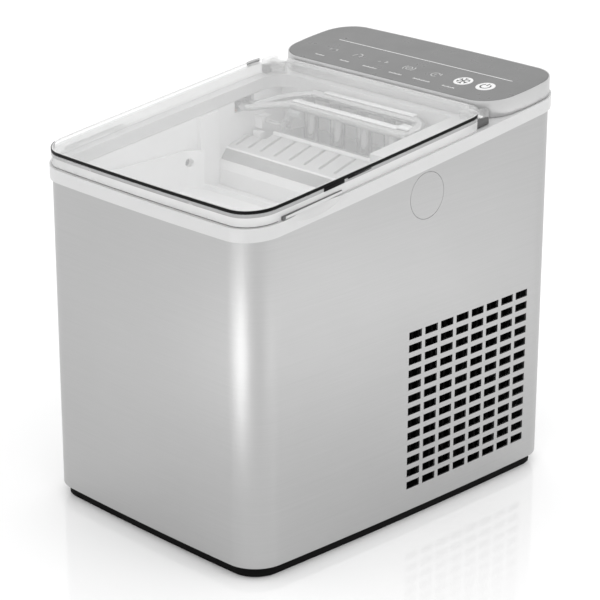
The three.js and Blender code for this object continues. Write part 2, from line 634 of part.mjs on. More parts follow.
function buildComb() {
  const foot = WEIR_TOP + 0.8;
  const under = COMB_REAR - 1.7;
  const inside = COMB_FRONT + 3;
  const points = [
    [COMB_FRONT, foot],
    [COMB_FRONT, combLine(COMB_FRONT, -1)],
    [COMB_FRONT + 1, combLine(COMB_FRONT + 1, 0)],
    [COMB_REAR, combLine(COMB_REAR, 0)],
    [under, combLine(under, -COMB_T)],
    [inside, combLine(inside, -COMB_T)],
    [inside, foot],
  ];
  const body = profile(points, MAKER_LEFT + 0.4, SHELF_X - 0.4);
  const lugs = [-96, 70].map((x) => box(x, x + 6, COMB_FRONT + 0.5, WEIR_REAR - 0.2, WEIR_TOP + GAP, 234));
  const slots = [];
  for (let index = -2; index < COMB_SLOTS - 2; index += 1) {
    const x = SLOT_X + index * (index < 0 ? COMB_PITCH_LEFT : COMB_PITCH);
    slots.push(box(x - SLOT_W / 2, x + SLOT_W / 2, WEIR_REAR + 0.2, 60, 225, 260));
  }
  const bearingNotch = box(-110, -79, 37, 60, 225, 260);
  const houseNotch = box(MAKER_RIGHT - 0.5, 100, 44.6, 60, 225, 260);
  place("comb_slide", cut(join(body, ...lugs), ...slots, bearingNotch, houseNotch), "white");
}

// Low bar that sweeps the ice down the comb.
function buildShovel() {
  const rear = COMB_REAR - 0.6;
  const front = rear - 1.6;
  const points = [
    [front, combLine(front, 0.5)],
    [rear, combLine(rear, 0.5)],
    [rear, combLine(rear, 2.6)],
    [rear - 1, combLine(rear - 1, 3)],
    [front, combLine(front, 2)],
  ];
  place("ice_shovel", profile(points, ...SHOVEL_X), "white");
}

function buildTray() {
  const [py, pz] = TRAY_PIVOT;
  const low = pz - TRAY_DEPTH;
  const front = py - 3;
  const rear = py + 23.6;
  const wall = TRAY_WALL;
  const section = (inset, top) => [
    [front + inset, low + 4 + inset / 3],
    [py + inset / 2, low + inset],
    [py + 20 - inset / 2, low + inset],
    [rear - inset, low + 4 + inset / 3],
    [rear - inset, top],
    [front + inset, top],
  ];
  const outer = profile(section(0, pz - 5), TRAY_LEFT, TRAY_RIGHT);
  const inner = profile(section(wall, pz), TRAY_LEFT + wall, TRAY_RIGHT - wall);
  const arms = [TRAY_LEFT, TRAY_RIGHT - 3].map((x) =>
    join(box(x, x + 3, py - 3, py + 3.8, pz - 10, pz), rod("x", 3.8, 3, x, py, pz, 20)));
  const bores = [TRAY_LEFT - 2, TRAY_RIGHT - 8].map((x) => rod("x", AXLE_BORE, 10, x, py, pz, 16));
  place("water_tray", cut(join(cut(outer, inner), ...arms), ...bores), "tray");
  const axleStart = MAKER_LEFT + 1.4;
  place("tray_axle", rod("x", AXLE_R, TRAY_LEFT + 2.8 - axleStart, axleStart, py, pz, 16), "nickel");
  place("motor_shaft", rod("x", AXLE_R, 12.6, TRAY_RIGHT - 2.8, py, pz, 16), "nickel");
  const gearFront = HOUSE_FRONT + 2.6;
  const gearRear = MAKER_REAR - 1.6;
  const gearbox = box(MAKER_RIGHT + 3.6, MAKER_RIGHT + 20, gearFront, gearRear, pz - 32, pz + 8);
  const can = rod("x", 12, 14, MAKER_RIGHT + 19.5, py + 10, pz - 16);
  const socket = rod("x", AXLE_BORE, 8, MAKER_RIGHT + 1, py, pz, 16);
  place("tray_motor", cut(join(gearbox, can), socket), "grey");
}

function buildEvaporator() {
  const [ay, az] = BAR_A;
  const [by, bz] = BAR_B;
  const leadIn = [[-106, 31, 264], [-92, 31, 264.5], [-78, 41, 267]];
  const frontRun = [-62, -30, 10, 46].map((x) => [x, ay, az]);
  const bend = [[55, ay + 3, az + 1], [57, (ay + by) / 2, (az + bz) / 2], [55, by - 3, bz - 1]];
  const rearRun = [46, 10, -30, -56].map((x) => [x, by, bz]);
  const leadOut = [[-74, 55, 272], [-92, 41, 265.5], [-106, 41, 264.5]];
  const loop = tube([...leadIn, ...frontRun, ...bend, ...rearRun, ...leadOut], BAR_R, 48);
  const fingers = [];
  for (let index = 0; index < 4; index += 1) {
    fingers.push(finger(-47 + index * FINGER_PITCH, ay + 6, az));
  }
  for (let index = 0; index < 5; index += 1) {
    fingers.push(finger(-61 + index * FINGER_PITCH, by - 1, bz));
  }
  place("evaporator", join(loop, ...fingers), "nickel");
  const under = az - BAR_R - 0.4;
  const front = ay - 5;
  const shelf = box(...BRACKET_X, front, MAKER_REAR - GAP, under - BRACKET_T, under);
  const lip = box(...BRACKET_X, front, front + 0.8, under - BRACKET_T, az);
  place("evaporator_bracket", join(shelf, lip), "zinc");
}

// One blunt ice finger hanging from the evaporator bar.
function finger(x, y, z) {
  const length = z - FINGER_TIP;
  const tip = [[0, -length], [FINGER_R - 1.6, -length + 0.4], [FINGER_R, -length + 3]];
  const points = [...tip, [FINGER_R, -1], [0, -1]];
  return lathe(points, 8).translate([x, y, z]);
}

// ---------- water ----------
function buildWater() {
  const { x, y, r, low, high } = PUMP;
  const body = rod("z", r, high - low, x, y, low);
  const inlet = rod("z", 4.6, 22, x, y, high - 1, 16);
  const outlet = rod("x", 4, 22, x - 38, y, low + 10, 16);
  const foot = box(x - 22, x + 22, y - 22, y + 22, low - 2, low + 1);
  const stand = [[-18, -18], [18, -18], [-18, 18], [18, 18]].map(([dx, dy]) =>
    rod("z", 3, low - PAN_FLOOR - 2, x + dx, y + dy, PAN_FLOOR + 0.5, 10));
  place("pump", join(body, inlet, outlet, foot, ...stand), "grey");
  const fill = tube([[20.8, -60, 108], [16, -61, 107.8], [8, -66, 106], [-6, -80, 104], [-40, -78, 110],
    [-84, -40, 126], [-84, -13, 128], [-88, 6, 145], [-88, 40, 168], [-86, 62, 178], [-86, 66, 190],
    [-86, 66, 225], [-85, 66, 250], [-80, 66, 256], [-69, 66, 256]], HOSE_R, 30);
  place("fill_hose", fill, "hose");
  const fall = [[0, -60, 151.6], [0, -60, 138], [4, -56, 100], [14, -40, 60], [20, -13, 42]];
  const alongFloor = [[24, 10, 40], [26, 60, 40], [26, 110, 40], [22, 128, 42], [20, 137.5, 42]];
  const drop = tube([...fall, ...alongFloor], 4, 30);
  place("drain_hose", drop, "hose");
}

// ---------- refrigeration ----------
function buildCompressor() {
  const { x, y, r, low, high } = POT;
  const points = [[0, low], [r - 8, low], [r, 22], [r, 70], [r + 1.6, 71], [r + 1.6, 75],
    [r, 76], [r - 1, 112], [r - 9, 128], [r - 26, 138], [0, high]];
  const shell = lathe(points, 18).translate([x, y, 0]);
  const plate = box(x - 52, x + 52, y - 46, y + 46, low - 0.2, low + 1.8);
  const tab = box(x - 10, x + 10, y + 40, y + 62, low - 0.2, low + 1.8);
  const holes = grommetSpots().map(([gx, gy]) => rod("z", 4, 10, gx, gy, low - 3.6, 16));
  const terminal = box(x + r - 6, x + r + 14, y - 16, y + 16, 60, 96);
  place("compressor", cut(join(shell, plate, tab, terminal), ...holes), "enamel");
  const sleeve = [[0, 5.8], [8, 5.8], [8, 13.1], [3.6, 13.1], [3.6, 15.7], [6.6, 15.7], [6.6, 18], [0, 18]];
  grommetSpots().forEach(([gx, gy], index) => {
    place(`grommet_${index + 1}`, lathe(sleeve, 10).translate([gx, gy, 0]), "rubber");
  });
}

function grommetSpots() {
  return [[POT.x - 42, POT.y - 38], [POT.x + 42, POT.y - 38], [POT.x, POT.y + 53]];
}

function buildCondenser() {
  const core = box(...COIL_X, ...COIL_Y, ...COIL_Z);
  const grooves = [];
  for (let index = 0; index < 17; index += 1) {
    const y = COIL_Y[0] + 3 + index * 7;
    grooves.push(box(COIL_X[0] + 3, COIL_X[1] + 1, y, y + 4.6, COIL_Z[0] - 1, COIL_Z[1] + 1));
  }
  const bends = [];
  for (let row = 0; row < 6; row += 1) {
    const z = COIL_Z[0] + 11 + row * 20;
    const y = row % 2 ? COIL_Y[0] - 4 : COIL_Y[1] - 1.2;
    bends.push(row < 5 ? box(92, 98, y, y + 5.2, z, z + 20) : box(92, 98, y, y + 5.2, z - 3, z + 3));
  }
  place("condenser", join(cut(core, ...grooves), ...bends), "fins");
}

function buildFan() {
  const shroudR = FAN_DUCT + 2.5;
  const ductR = FAN_DUCT;
  const plate = box(COIL_X[0] - 3.6, COIL_X[0] - 0.6, ...COIL_Y, ...COIL_Z);
  const ring = rod("x", shroudR, 16, 66, FAN_Y, FAN_Z, 24);
  const duct = rod("x", ductR, 30, 60, FAN_Y, FAN_Z, 24);
  const spokes = [0, 1, 2, 3].map((index) => {
    const bar = box(62, 65.6, 18, 55.5, -2, 2);
    return round(bar, Math.PI / 4 + (index * Math.PI) / 2);
  });
  const lip = cut(rod("x", shroudR, 4.5, 62, FAN_Y, FAN_Z, 24), rod("x", ductR, 30, 55, FAN_Y, FAN_Z, 24));
  const cup = cut(rod("x", 20, 5, 60.6, FAN_Y, FAN_Z), rod("x", 17.3, 20, 55, FAN_Y, FAN_Z));
  place("fan_shroud", join(cut(join(plate, ring), duct), lip, cup, ...spokes), "grey");
  const socket = rod("x", AXLE_BORE, 12, 58, FAN_Y, FAN_Z, 12);
  place("fan_motor", cut(rod("x", 17, 26, 41, FAN_Y, FAN_Z), socket), "enamel");
  const hub = rod("x", 14, 10.5, 68.5, FAN_Y, FAN_Z, 20);
  const stub = rod("x", AXLE_R, 12, 59, FAN_Y, FAN_Z, 12);
  const blades = [];
  for (let index = 0; index < FAN_BLADES; index += 1) {
    blades.push(round(blade(), (index * 2 * Math.PI) / FAN_BLADES));
  }
  place("fan", join(hub, stub, ...blades), "grey");
}

// Turns a solid made about the X axis onto the fan's axis, at an angle.
function round(body, angle) {
  const turn = new THREE.Matrix4().makeRotationX(angle);
  const matrix = new THREE.Matrix4().makeTranslation(0, FAN_Y, FAN_Z).multiply(turn);
  return body.transform(matrix.elements);
}

// A pitched fan blade reaching from the hub towards the duct.
function blade() {
  const geometry = new THREE.BoxGeometry(1.4, 40, 20);
  geometry.rotateY(0.46);
  geometry.translate(74, 31, 0);
  const sweep = cut(rod("x", 50.5, 12, 68, 0, 0, 24), rod("x", 8, 14, 67, 0, 0, 16));
  return solid(geometry).intersect(sweep);
}

function buildLines() {
  const { x, y, low, high, r } = DRIER;
  const points = [[0, low], [3, low], [r, low + 8], [r, high - 8], [3, high], [0, high]];
  place("filter_drier", lathe(points, 16).translate([x, y, 0]), "copper");
  const inletY = COIL_Y[1] + 7.6;
  const fromPot = [[POT.x + 30, POT.y + 39, 92], [-4, 122, 96], [10, 134, 120], [30, y, 148]];
  const toCoil = [[62, 134, 156], [90, 130, 152], [95, inletY, 141]];
  place("discharge_line", tube([...fromPot, ...toCoil], 2.6, 22, 3), "copper");
  const liquid = [[95, inletY, 37], [88, 134, 34], [66, 137, 34], [44, 137, 40], [x, y, low - 1.2]];
  place("liquid_line", tube(liquid, 2.2, 16, 3), "copper");
  const suctionFall = [[-107.6, 31, 260], [-107.8, 31, 240], [-107.8, 31, 200], [-106, 34, 176]];
  const suctionEnd = [[-98, 44, 160], [-88, 60, 150], [-86, 77, 132], [-89.4, 81.5, 112]];
  place("suction_line", tube([...suctionFall, ...suctionEnd], 2.4, 20, 3), "copper");
  const feedFall = [[-107.6, 41, 263], [-107.8, 41, 240], [-107.8, 41, 205], [-104, 52, 180]];
  const feedEnd = [[-80, 90, 168], [-40, 128, 160], [10, 142, 150], [30, 139, 140], [x, y, high + 1.4]];
  place("capillary_line", tube([...feedFall, ...feedEnd], 1.6, 24, 3), "copper");
}

buildWrap();
buildBase();
buildRearPanel();
buildDrainAndGland();
buildRim();
buildConsole();
buildBoards();
buildLid();
buildHinges();
buildTub();
buildReservoir();
buildMakerBox();
buildSensors();
buildBasket();
buildJacket();
buildComb();
buildShovel();
buildTray();
buildEvaporator();
buildWater();
buildCompressor();
buildCondenser();
buildFan();
buildLines();

export default group;
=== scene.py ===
"""Looks for the countertop ice maker: fine outer mouldings, materials, studio."""
import math

import bmesh
import bpy
from mathutils import Matrix, Vector


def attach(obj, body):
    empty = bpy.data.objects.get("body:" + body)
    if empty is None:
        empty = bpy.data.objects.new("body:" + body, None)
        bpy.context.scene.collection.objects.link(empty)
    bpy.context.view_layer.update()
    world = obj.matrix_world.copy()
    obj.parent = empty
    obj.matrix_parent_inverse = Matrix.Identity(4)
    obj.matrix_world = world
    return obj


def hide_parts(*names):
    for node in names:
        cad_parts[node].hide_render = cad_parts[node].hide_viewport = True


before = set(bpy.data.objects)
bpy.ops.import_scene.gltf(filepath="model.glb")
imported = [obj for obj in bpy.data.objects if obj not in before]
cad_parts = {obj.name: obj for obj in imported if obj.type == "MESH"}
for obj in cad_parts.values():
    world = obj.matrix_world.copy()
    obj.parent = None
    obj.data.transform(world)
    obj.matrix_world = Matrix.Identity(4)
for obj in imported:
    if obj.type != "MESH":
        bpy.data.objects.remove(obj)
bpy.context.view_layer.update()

# ---------- driving dimensions, millimetres, as in the CAD ----------
MM = 0.001
GAP = 0.3
BODY_W = 223
BODY_D = 311.5
BODY_R = 25
FRONT = -BODY_D / 2
SIDE_BOW = 2
FRONT_BOW = 1.2
SHEET = 1.6
STEEL_BOTTOM = 9
STEEL_FRONT_TOP = 245.9
SLOPE = 0.121
RIM_PROUD = 2.05
RIM_H = 9.85
LID_TOP = 21.45
LID_INSET = 2.1
LID_WALL = 3
LID_R = 23.5
LID_REAR = 74.5
LID_SKIRT_REAR = 61.7
LID_REAR_R = 20
LID_REAR_X = 113.4
TRIM_H = 2.2
PIVOT_Y = 69
PIVOT_Z = 289.5
PIN_R = 1.6
KNUCKLE = (92, 104.2)  # inner and outer end
KNUCKLE_R = 4.6
CONSOLE_FRONT = 78
CONSOLE_R = 25
PANEL_Z = 296.7
PANEL_SLOPE = 0.126
OVERLAY_T = 1.2
BUTTON_R = 7.4
BUTTON_Y = 105.2
SELECT_X = 59.3
POWER_X = 80.8
SCOOP_Y = -101
SCOOP_LEN = 52
TUB_W = 209
TUB_WALL = 3
TUB_FRONT = -149.5
TUB_REAR = 84
MOUTH_REAR = 72
MOUTH_R = 18
UNDER = 200  # cutting tools for the top run from here
OVER = 400  # up to here
WELL_FLOOR = 207.5
STEP_Y = -12
STEP_X = 98
SHELF_X = 78
WEIR_FRONT = 7
WEIR_TOP = 226
COMB_H = 7.4  # height of the comb's face above the weir
SLOPE_Z = (238, 282)  # the wall behind the tray slopes between these heights
MAKER_LEFT = -101.5
MAKER_RIGHT = 62
MAKER_REAR = 80
BAR_A = (50, 269)
BAR_B = (67, 275)
BAR_R = 3.9
FINGER_PITCH = 28
FINGER_R = 4.5
FINGER_TIP = 238
TAIL_R = 2.7  # pipe tails, thinner than the bar
VENT_COLS = 8
VENT_ROWS = 13
VENT_W = 13.2
VENT_H = 5.7
VENT_PITCH_Y = 16.66
VENT_PITCH_Z = 9.66
VENT_Y = 0.35
VENT_Z = 29.1
CAP_R = 17
CAP_Y = 9.4
CAP_Z = 246.1
CAP_T = 2.2
CAP_GAP = 0.12
SLOT_COLS = 4  # columns that one slot on the left side spans
INSIDE = 100  # cutting tools run from here
OUTSIDE = 130  # to here, through the side walls
PAN_INSET = 4.4
PAN_BOTTOM = 0.8
PAN_TOP = 15
PAN_FLOOR = 5.5
BLOCK_OUTER = 111
EDGE_SHADOWS = (("front", -91, -72, 4.8), ("rear", -69, -46, 3.4))  # dark wedges under the lid's edge, painted shadow: ends, depth
EDGE_SHADOW_X = (111.2, 113.1)
GRIP_X = (111.8, 113.5)
BLOCK_Y = (62.5, 75.5)
BLOCK_TOP = 289.2
REAR_WINDOW_X = 80
REAR_WINDOW_Z = (20, 262)
BASKET_TOP = 240
BASKET_X = 100.4
BASKET_FRONT = -145
BASKET_R = 16
BASKET_WALL = 2.2
BASKET_FLOOR_T = 2.4
SLOTS = (7, 3)  # drain slots across and along
SLOT_PITCH = (24, 14)
EYE_R = 3.6  # holes that the ice sensors look through
EYE_Y = -24.4
EYE_Z = 231
ARC = 14  # segments per quarter round
EDGE = 20  # segments per bowed side


# ---------- planes the top follows ----------
def deck(offset):
    return lambda y: STEEL_FRONT_TOP + offset + SLOPE * (y - FRONT)


def level(z):
    return lambda y: z


def panel(offset):
    return lambda y: PANEL_Z + offset + PANEL_SLOPE * (y - CONSOLE_FRONT)


# ---------- outlines ----------
def arc_points(cx, cy, r, start, end, count):
    step = (end - start) / count
    angles = [start + step * i for i in range(count + 1)]
    return [(cx + r * math.cos(angle), cy + r * math.sin(angle)) for angle in angles]


def bow_points(a, control, b, count):
    points = []
    for i in range(1, count):
        t = i / count
        x = (1 - t) ** 2 * a[0] + 2 * t * (1 - t) * control[0] + t * t * b[0]
        y = (1 - t) ** 2 * a[1] + 2 * t * (1 - t) * control[1] + t * t * b[1]
        points.append((x, y))
    return points


def outline(x, y0, y1, r, side=0, front=0, rear=0):
    quarter = math.pi / 2
    middle = (y0 + y1) / 2
    points = []
    points += arc_points(x - r, y0 + r, r, -quarter, 0, ARC)
    points += bow_points((x, y0 + r), (x + 2 * side, middle), (x, y1 - r), EDGE)
    points += arc_points(x - r, y1 - r, r, 0, quarter, ARC)
    points += bow_points((x - r, y1), (0, y1 + 2 * rear), (-x + r, y1), EDGE)
    points += arc_points(-x + r, y1 - r, r, quarter, 2 * quarter, ARC)
    points += bow_points((-x, y1 - r), (-x - 2 * side, middle), (-x, y0 + r), EDGE)
    points += arc_points(-x + r, y0 + r, r, 2 * quarter, 3 * quarter, ARC)
    points += bow_points((-x + r, y0), (0, y0 - 2 * front), (x - r, y0), EDGE)
    return points


def body_outline(grow):
    half = BODY_W / 2 + grow
    return outline(half, FRONT - grow, -FRONT + grow, BODY_R + grow, SIDE_BOW, FRONT_BOW)


def console_outline(grow):
    half = BODY_W / 2 + 0.4 + grow
    return outline(half, CONSOLE_FRONT - grow, -FRONT + 0.4 + grow, CONSOLE_R + grow, 0.6, 0, 1.2)


def lid_outline(shrink):
    """Round corners all round, the rear ones at the hinges."""
    quarter = math.pi / 2
    x = BODY_W / 2 + RIM_PROUD - LID_INSET - shrink
    y0 = FRONT - RIM_PROUD + LID_INSET + shrink
    r = LID_R - shrink
    rear_x = LID_REAR_X - LID_REAR_R
    rear_y = LID_REAR - LID_REAR_R
    side = bow_points((x, y0 + r), (x + SIDE_BOW, FRONT / 2), (LID_REAR_X - shrink, rear_y), 40)
    corner = arc_points(rear_x, rear_y, LID_REAR_R - shrink, 0, quarter, ARC)
    points = arc_points(x - r, y0 + r, r, -quarter, 0, ARC)
    points += side + corner
    points += [(-px, py) for px, py in reversed(side + corner)]
    points += arc_points(-x + r, y0 + r, r, 2 * quarter, 3 * quarter, ARC)
    points += bow_points((-x + r, y0), (0, y0 - 2 * FRONT_BOW), (x - r, y0), EDGE)
    return points


def box_outline(x0, x1, y0, y1):
    return [(x0, y0), (x1, y0), (x1, y1), (x0, y1)]


def circle_outline(cx, cy, r, count=48):
    return arc_points(cx, cy, r, 0, 2 * math.pi, count)[:-1]


# ---------- mesh makers ----------
def new_object(name, verts, faces):
    mesh = bpy.data.meshes.new(name)
    mesh.from_pydata([Vector(v) * MM for v in verts], [], faces)
    work = bmesh.new()
    work.from_mesh(mesh)
    bmesh.ops.recalc_face_normals(work, faces=work.faces)
    work.to_mesh(mesh)
    work.free()
    obj = bpy.data.objects.new(name, mesh)
    bpy.context.collection.objects.link(obj)
    return obj


def prism(name, points, low, high):
    """A plan outline run up between two sloping planes."""
    count = len(points)
    verts = [(x, y, low(y)) for x, y in points] + [(x, y, high(y)) for x, y in points]
    faces = [tuple(range(count))[::-1], tuple(range(count, 2 * count))]
    faces += [(i, (i + 1) % count, (i + 1) % count + count, i + count) for i in range(count)]
    return new_object(name, verts, faces)


def ring(name, outer, inner, low, high):
    """The same between an outer and an inner outline of equal length."""
    count = len(outer)
    verts = []
    for points in (outer, inner):
        verts += [(x, y, low(y)) for x, y in points]
        verts += [(x, y, high(y)) for x, y in points]
    faces = []
    for i in range(count):
        j = (i + 1) % count
        faces.append((i, j, count + j, count + i))
        faces.append((3 * count + i, 3 * count + j, 2 * count + j, 2 * count + i))
        faces.append((count + i, count + j, 3 * count + j, 3 * count + i))
        faces.append((2 * count + i, 2 * count + j, j, i))
    return new_object(name, verts, faces)


def profile(name, points, x0, x1):
    """A side profile given as (y, z), run along X."""
    count = len(points)
    verts = [(x0, y, z) for y, z in points] + [(x1, y, z) for y, z in points]
    faces = [tuple(range(count))[::-1], tuple(range(count, 2 * count))]
    faces += [(i, (i + 1) % count, (i + 1) % count + count, i + count) for i in range(count)]
    return new_object(name, verts, faces)


def block(name, x0, x1, y0, y1, z0, z1):
    return prism(name, box_outline(x0, x1, y0, y1), level(z0), level(z1))


AXES = {
    "x": Matrix.Rotation(math.pi / 2, 4, "Y"),
    "y": Matrix.Rotation(-math.pi / 2, 4, "X"),
    "z": Matrix.Identity(4),
}


def lathe(name, points, axis, place, count=40):
    """Turns (radius, height) points about an axis through a place."""
    matrix = Matrix.Translation(place) @ AXES[axis]
    verts = []
    faces = []
    rows = len(points)
    for i in range(count):
        angle = 2 * math.pi * i / count
        for radius, height in points:
            verts.append(matrix @ Vector((radius * math.cos(angle), radius * math.sin(angle), height)))
    for i in range(count):
        j = (i + 1) % count
        for k in range(rows - 1):
            faces.append((i * rows + k, j * rows + k, j * rows + k + 1, i * rows + k + 1))
    obj = new_object(name, verts, faces)
    work = bmesh.new()
    work.from_mesh(obj.data)
    bmesh.ops.remove_doubles(work, verts=work.verts, dist=1e-6)
    bmesh.ops.recalc_face_normals(work, faces=work.faces)
    work.to_mesh(obj.data)
    work.free()
    return obj


def rod(name, axis, radius, length, place, count=40):
    return lathe(name, [(0, 0), (radius, 0), (radius, length), (0, length)], axis, place, count)


def catmull(points, steps):
    """Smooth path through the points."""
    nodes = [Vector(p) for p in points]
    nodes = [2 * nodes[0] - nodes[1]] + nodes + [2 * nodes[-1] - nodes[-2]]
    path = []
    for i in range(1, len(nodes) - 2):
        p0, p1, p2, p3 = nodes[i - 1:i + 3]
        for k in range(steps):
            t = k / steps
            path.append(0.5 * (2 * p1 + (p2 - p0) * t + (2 * p0 - 5 * p1 + 4 * p2 - p3) * t * t
                               + (3 * p1 - p0 - 3 * p2 + p3) * t ** 3))
    path.append(nodes[-2])
    return path


def tube(name, points, radius, steps=8, count=20):
    path = catmull(points, steps)
    verts = []
    faces = []
    side = (path[1] - path[0]).orthogonal().normalized()
    for i, place in enumerate(path):
        ahead = path[min(i + 1, len(path) - 1)] - path[max(i - 1, 0)]
        ahead.normalize()
        side = (side - ahead * side.dot(ahead)).normalized()
        other = ahead.cross(side)
        for k in range(count):
            angle = 2 * math.pi * k / count
            verts.append(place + radius * (math.cos(angle) * side + math.sin(angle) * other))
    for i in range(len(path) - 1):
        for k in range(count):
            j = (k + 1) % count
            faces.append((i * count + k, i * count + j, (i + 1) * count + j, (i + 1) * count + k))
    faces.append(tuple(range(count))[::-1])
    faces.append(tuple(range((len(path) - 1) * count, len(path) * count)))
    return new_object(name, verts, faces)


def joined(name, objects):
    """One object from several."""
    work = bmesh.new()
    for obj in objects:
        work.from_mesh(obj.data)
    mesh = bpy.data.meshes.new(name)
    work.to_mesh(mesh)
    work.free()
    for obj in objects:
        bpy.data.objects.remove(obj)
    result = bpy.data.objects.new(name, mesh)
    bpy.context.collection.objects.link(result)
    return result


def boolean(obj, tool, operation="DIFFERENCE"):
    """Applies a boolean and removes the tool."""
    modifier = obj.modifiers.new("cut", "BOOLEAN")
    modifier.operation = operation
    modifier.object = tool
    modifier.solver = "EXACT"
    bake(obj)
    bpy.data.objects.remove(tool)
    return obj


def bake(obj):
    """Turns the object's modifiers into its mesh."""
    depsgraph = bpy.context.evaluated_depsgraph_get()
    mesh = bpy.data.meshes.new_from_object(obj.evaluated_get(depsgraph))
    obj.modifiers.clear()
    obj.data = mesh


def soften(obj, width, segments=3, angle=35):
    """Rounded edges, with smooth shading that keeps hard corners crisp."""
    modifier = obj.modifiers.new("edges", "BEVEL")
    modifier.width = width * MM
    modifier.segments = segments
    modifier.limit_method = "ANGLE"
    modifier.angle_limit = math.radians(angle)
    modifier.harden_normals = False
    bake(obj)
    shade(obj)
    return obj


def shade(obj, angle=32):
    obj.data.polygons.foreach_set("use_smooth", [True] * len(obj.data.polygons))
    obj.data.set_sharp_from_angle(angle=math.radians(angle))
    obj.data.update()
    return obj


def finish(obj, body, slot, material, *replaced):
    """Gives a piece its look, its body and the CAD nodes it stands for."""
    obj.data.materials.clear()
    obj.data.materials.append(material)
    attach(obj, body)
    if replaced:
        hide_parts(*replaced)
    return obj


# ---------- materials ----------
class Look:
    """A principled material with short helpers for its node tree."""

    def __init__(self, name, color, roughness, metallic=0.0):
        self.material = bpy.data.materials.new(name)
        self.material.use_nodes = True
        self.tree = self.material.node_tree
        self.shader = self.tree.nodes["Principled BSDF"]
        self.put("Base Color", (*color, 1))
        self.put("Roughness", roughness)
        self.put("Metallic", metallic)
        self.color = color
        coords = self.node("ShaderNodeTexCoord")
        self.coords = coords.outputs["Object"]

    def put(self, socket, value):
        self.shader.inputs[socket].default_value = value

    def node(self, kind, **inputs):
        node = self.tree.nodes.new(kind)
        for key, value in inputs.items():
            node.inputs[key.replace("_", " ")].default_value = value
        return node

    def link(self, source, target):
        self.tree.links.new(source, target)

    def drive(self, socket, source):
        self.link(source, self.shader.inputs[socket])

    def noise(self, scale, detail=4.0, stretch=(1, 1, 1)):
        mapping = self.node("ShaderNodeMapping", Scale=stretch)
        self.link(self.coords, mapping.inputs["Vector"])
        noise = self.node("ShaderNodeTexNoise", Scale=scale, Detail=detail)
        self.link(mapping.outputs["Vector"], noise.inputs["Vector"])
        return noise.outputs["Fac"]

    def ramp(self, source, low, high, start=0.3, end=0.7):
        """Maps a 0 to 1 value onto low to high."""
        node = self.node("ShaderNodeMapRange")
        node.clamp = True
        node.inputs["From Min"].default_value = start
        node.inputs["From Max"].default_value = end
        node.inputs["To Min"].default_value = low
        node.inputs["To Max"].default_value = high
        self.link(source, node.inputs["Value"])
        return node.outputs["Result"]

    def tint(self, source, low, high):
        """Colour that swings between two multiples of the base colour."""
        mix = self.node("ShaderNodeMix")
        mix.data_type = "RGBA"
        mix.inputs[6].default_value = (*[min(1, c * low) for c in self.color], 1)
        mix.inputs[7].default_value = (*[min(1, c * high) for c in self.color], 1)
        self.link(source, mix.inputs[0])
        self.drive("Base Color", mix.outputs[2])

    def bump(self, source, strength, distance=0.0002):
        bump = self.node("ShaderNodeBump", Strength=strength, Distance=distance)
        self.link(source, bump.inputs["Height"])
        self.drive("Normal", bump.outputs["Normal"])


def brushed_steel():
    look = Look("brushed_steel", (0.462, 0.462, 0.462), 0.34, 1.0)
    fine = look.noise(1.0, 2, (20, 20, 4200))
    broad = look.noise(1.0, 3, (6, 6, 900))
    cloud = look.noise(9.0, 2)
    both = look.node("ShaderNodeMath")
    both.operation = "ADD"
    look.link(look.ramp(fine, 0, 0.7), both.inputs[0])
    look.link(look.ramp(broad, 0, 0.3), both.inputs[1])
    look.tint(both.outputs[0], 0.965, 1.035)
    look.drive("Roughness", look.ramp(cloud, 0.31, 0.37))
    look.bump(fine, 0.06, 0.00003)
    look.put("Anisotropic", 0.6)
    tangent = look.node("ShaderNodeTangent")
    tangent.direction_type = "RADIAL"
    tangent.axis = "Z"
    look.drive("Tangent", tangent.outputs["Tangent"])
    return look.material


def moulded(name, color, roughness, grain=0.05, metallic=0.0, swing=0.02, shine=0.5):
    """Moulded plastic: faint colour drift, fine grain, slightly uneven gloss."""
    look = Look(name, color, roughness, metallic)
    look.tint(look.ramp(look.noise(14.0, 3), 0, 1), 1 - swing, 1 + swing)
    look.drive("Roughness", look.ramp(look.noise(60.0, 4), roughness * 0.88, roughness * 1.12))
    look.bump(look.noise(1800.0, 2), grain, 0.00005)
    look.put("Specular IOR Level", shine)
    return look.material


def clear_plastic(name, color, alpha, roughness=0.04):
    # Painted reflection: the pale colour that the alpha lays over what shows through stands for the
    # bright room reflected in the plastic.
    look = Look(name, color, roughness)
    look.tint(look.ramp(look.noise(12.0, 2), 0, 1), 0.98, 1.02)
    look.drive("Roughness", look.ramp(look.noise(25.0, 3), roughness * 0.7, roughness * 1.6))
    look.drive("Alpha", look.ramp(look.noise(18.0, 3), alpha * 0.94, alpha * 1.06))
    look.material.surface_render_method = "BLENDED"
    return look.material


def metal(name, color, roughness, swing=0.05):
    look = Look(name, color, roughness, 1.0)
    look.tint(look.ramp(look.noise(40.0, 4), 0, 1), 1 - swing, 1 + swing)
    look.drive("Roughness", look.ramp(look.noise(120.0, 3), roughness * 0.8, roughness * 1.2))
    look.bump(look.noise(600.0, 2), 0.05, 0.00005)
    return look.material


def foam():
    look = Look("foam", (0.86, 0.86, 0.83), 0.9)
    cells = look.node("ShaderNodeTexVoronoi", Scale=260.0)
    look.link(look.coords, cells.inputs["Vector"])
    look.tint(look.ramp(cells.outputs["Distance"], 0, 1, 0, 1), 1.04, 0.9)
    look.bump(cells.outputs["Distance"], 0.4, 0.0004)
    return look.material


def circuit_board():
    look = Look("circuit_board", (0.05, 0.16, 0.08), 0.45)
    tracks = look.node("ShaderNodeTexBrick", Scale=140.0)
    look.link(look.coords, tracks.inputs["Vector"])
    look.tint(tracks.outputs["Fac"], 0.8, 1.5)
    look.bump(tracks.outputs["Fac"], 0.1)
    return look.material


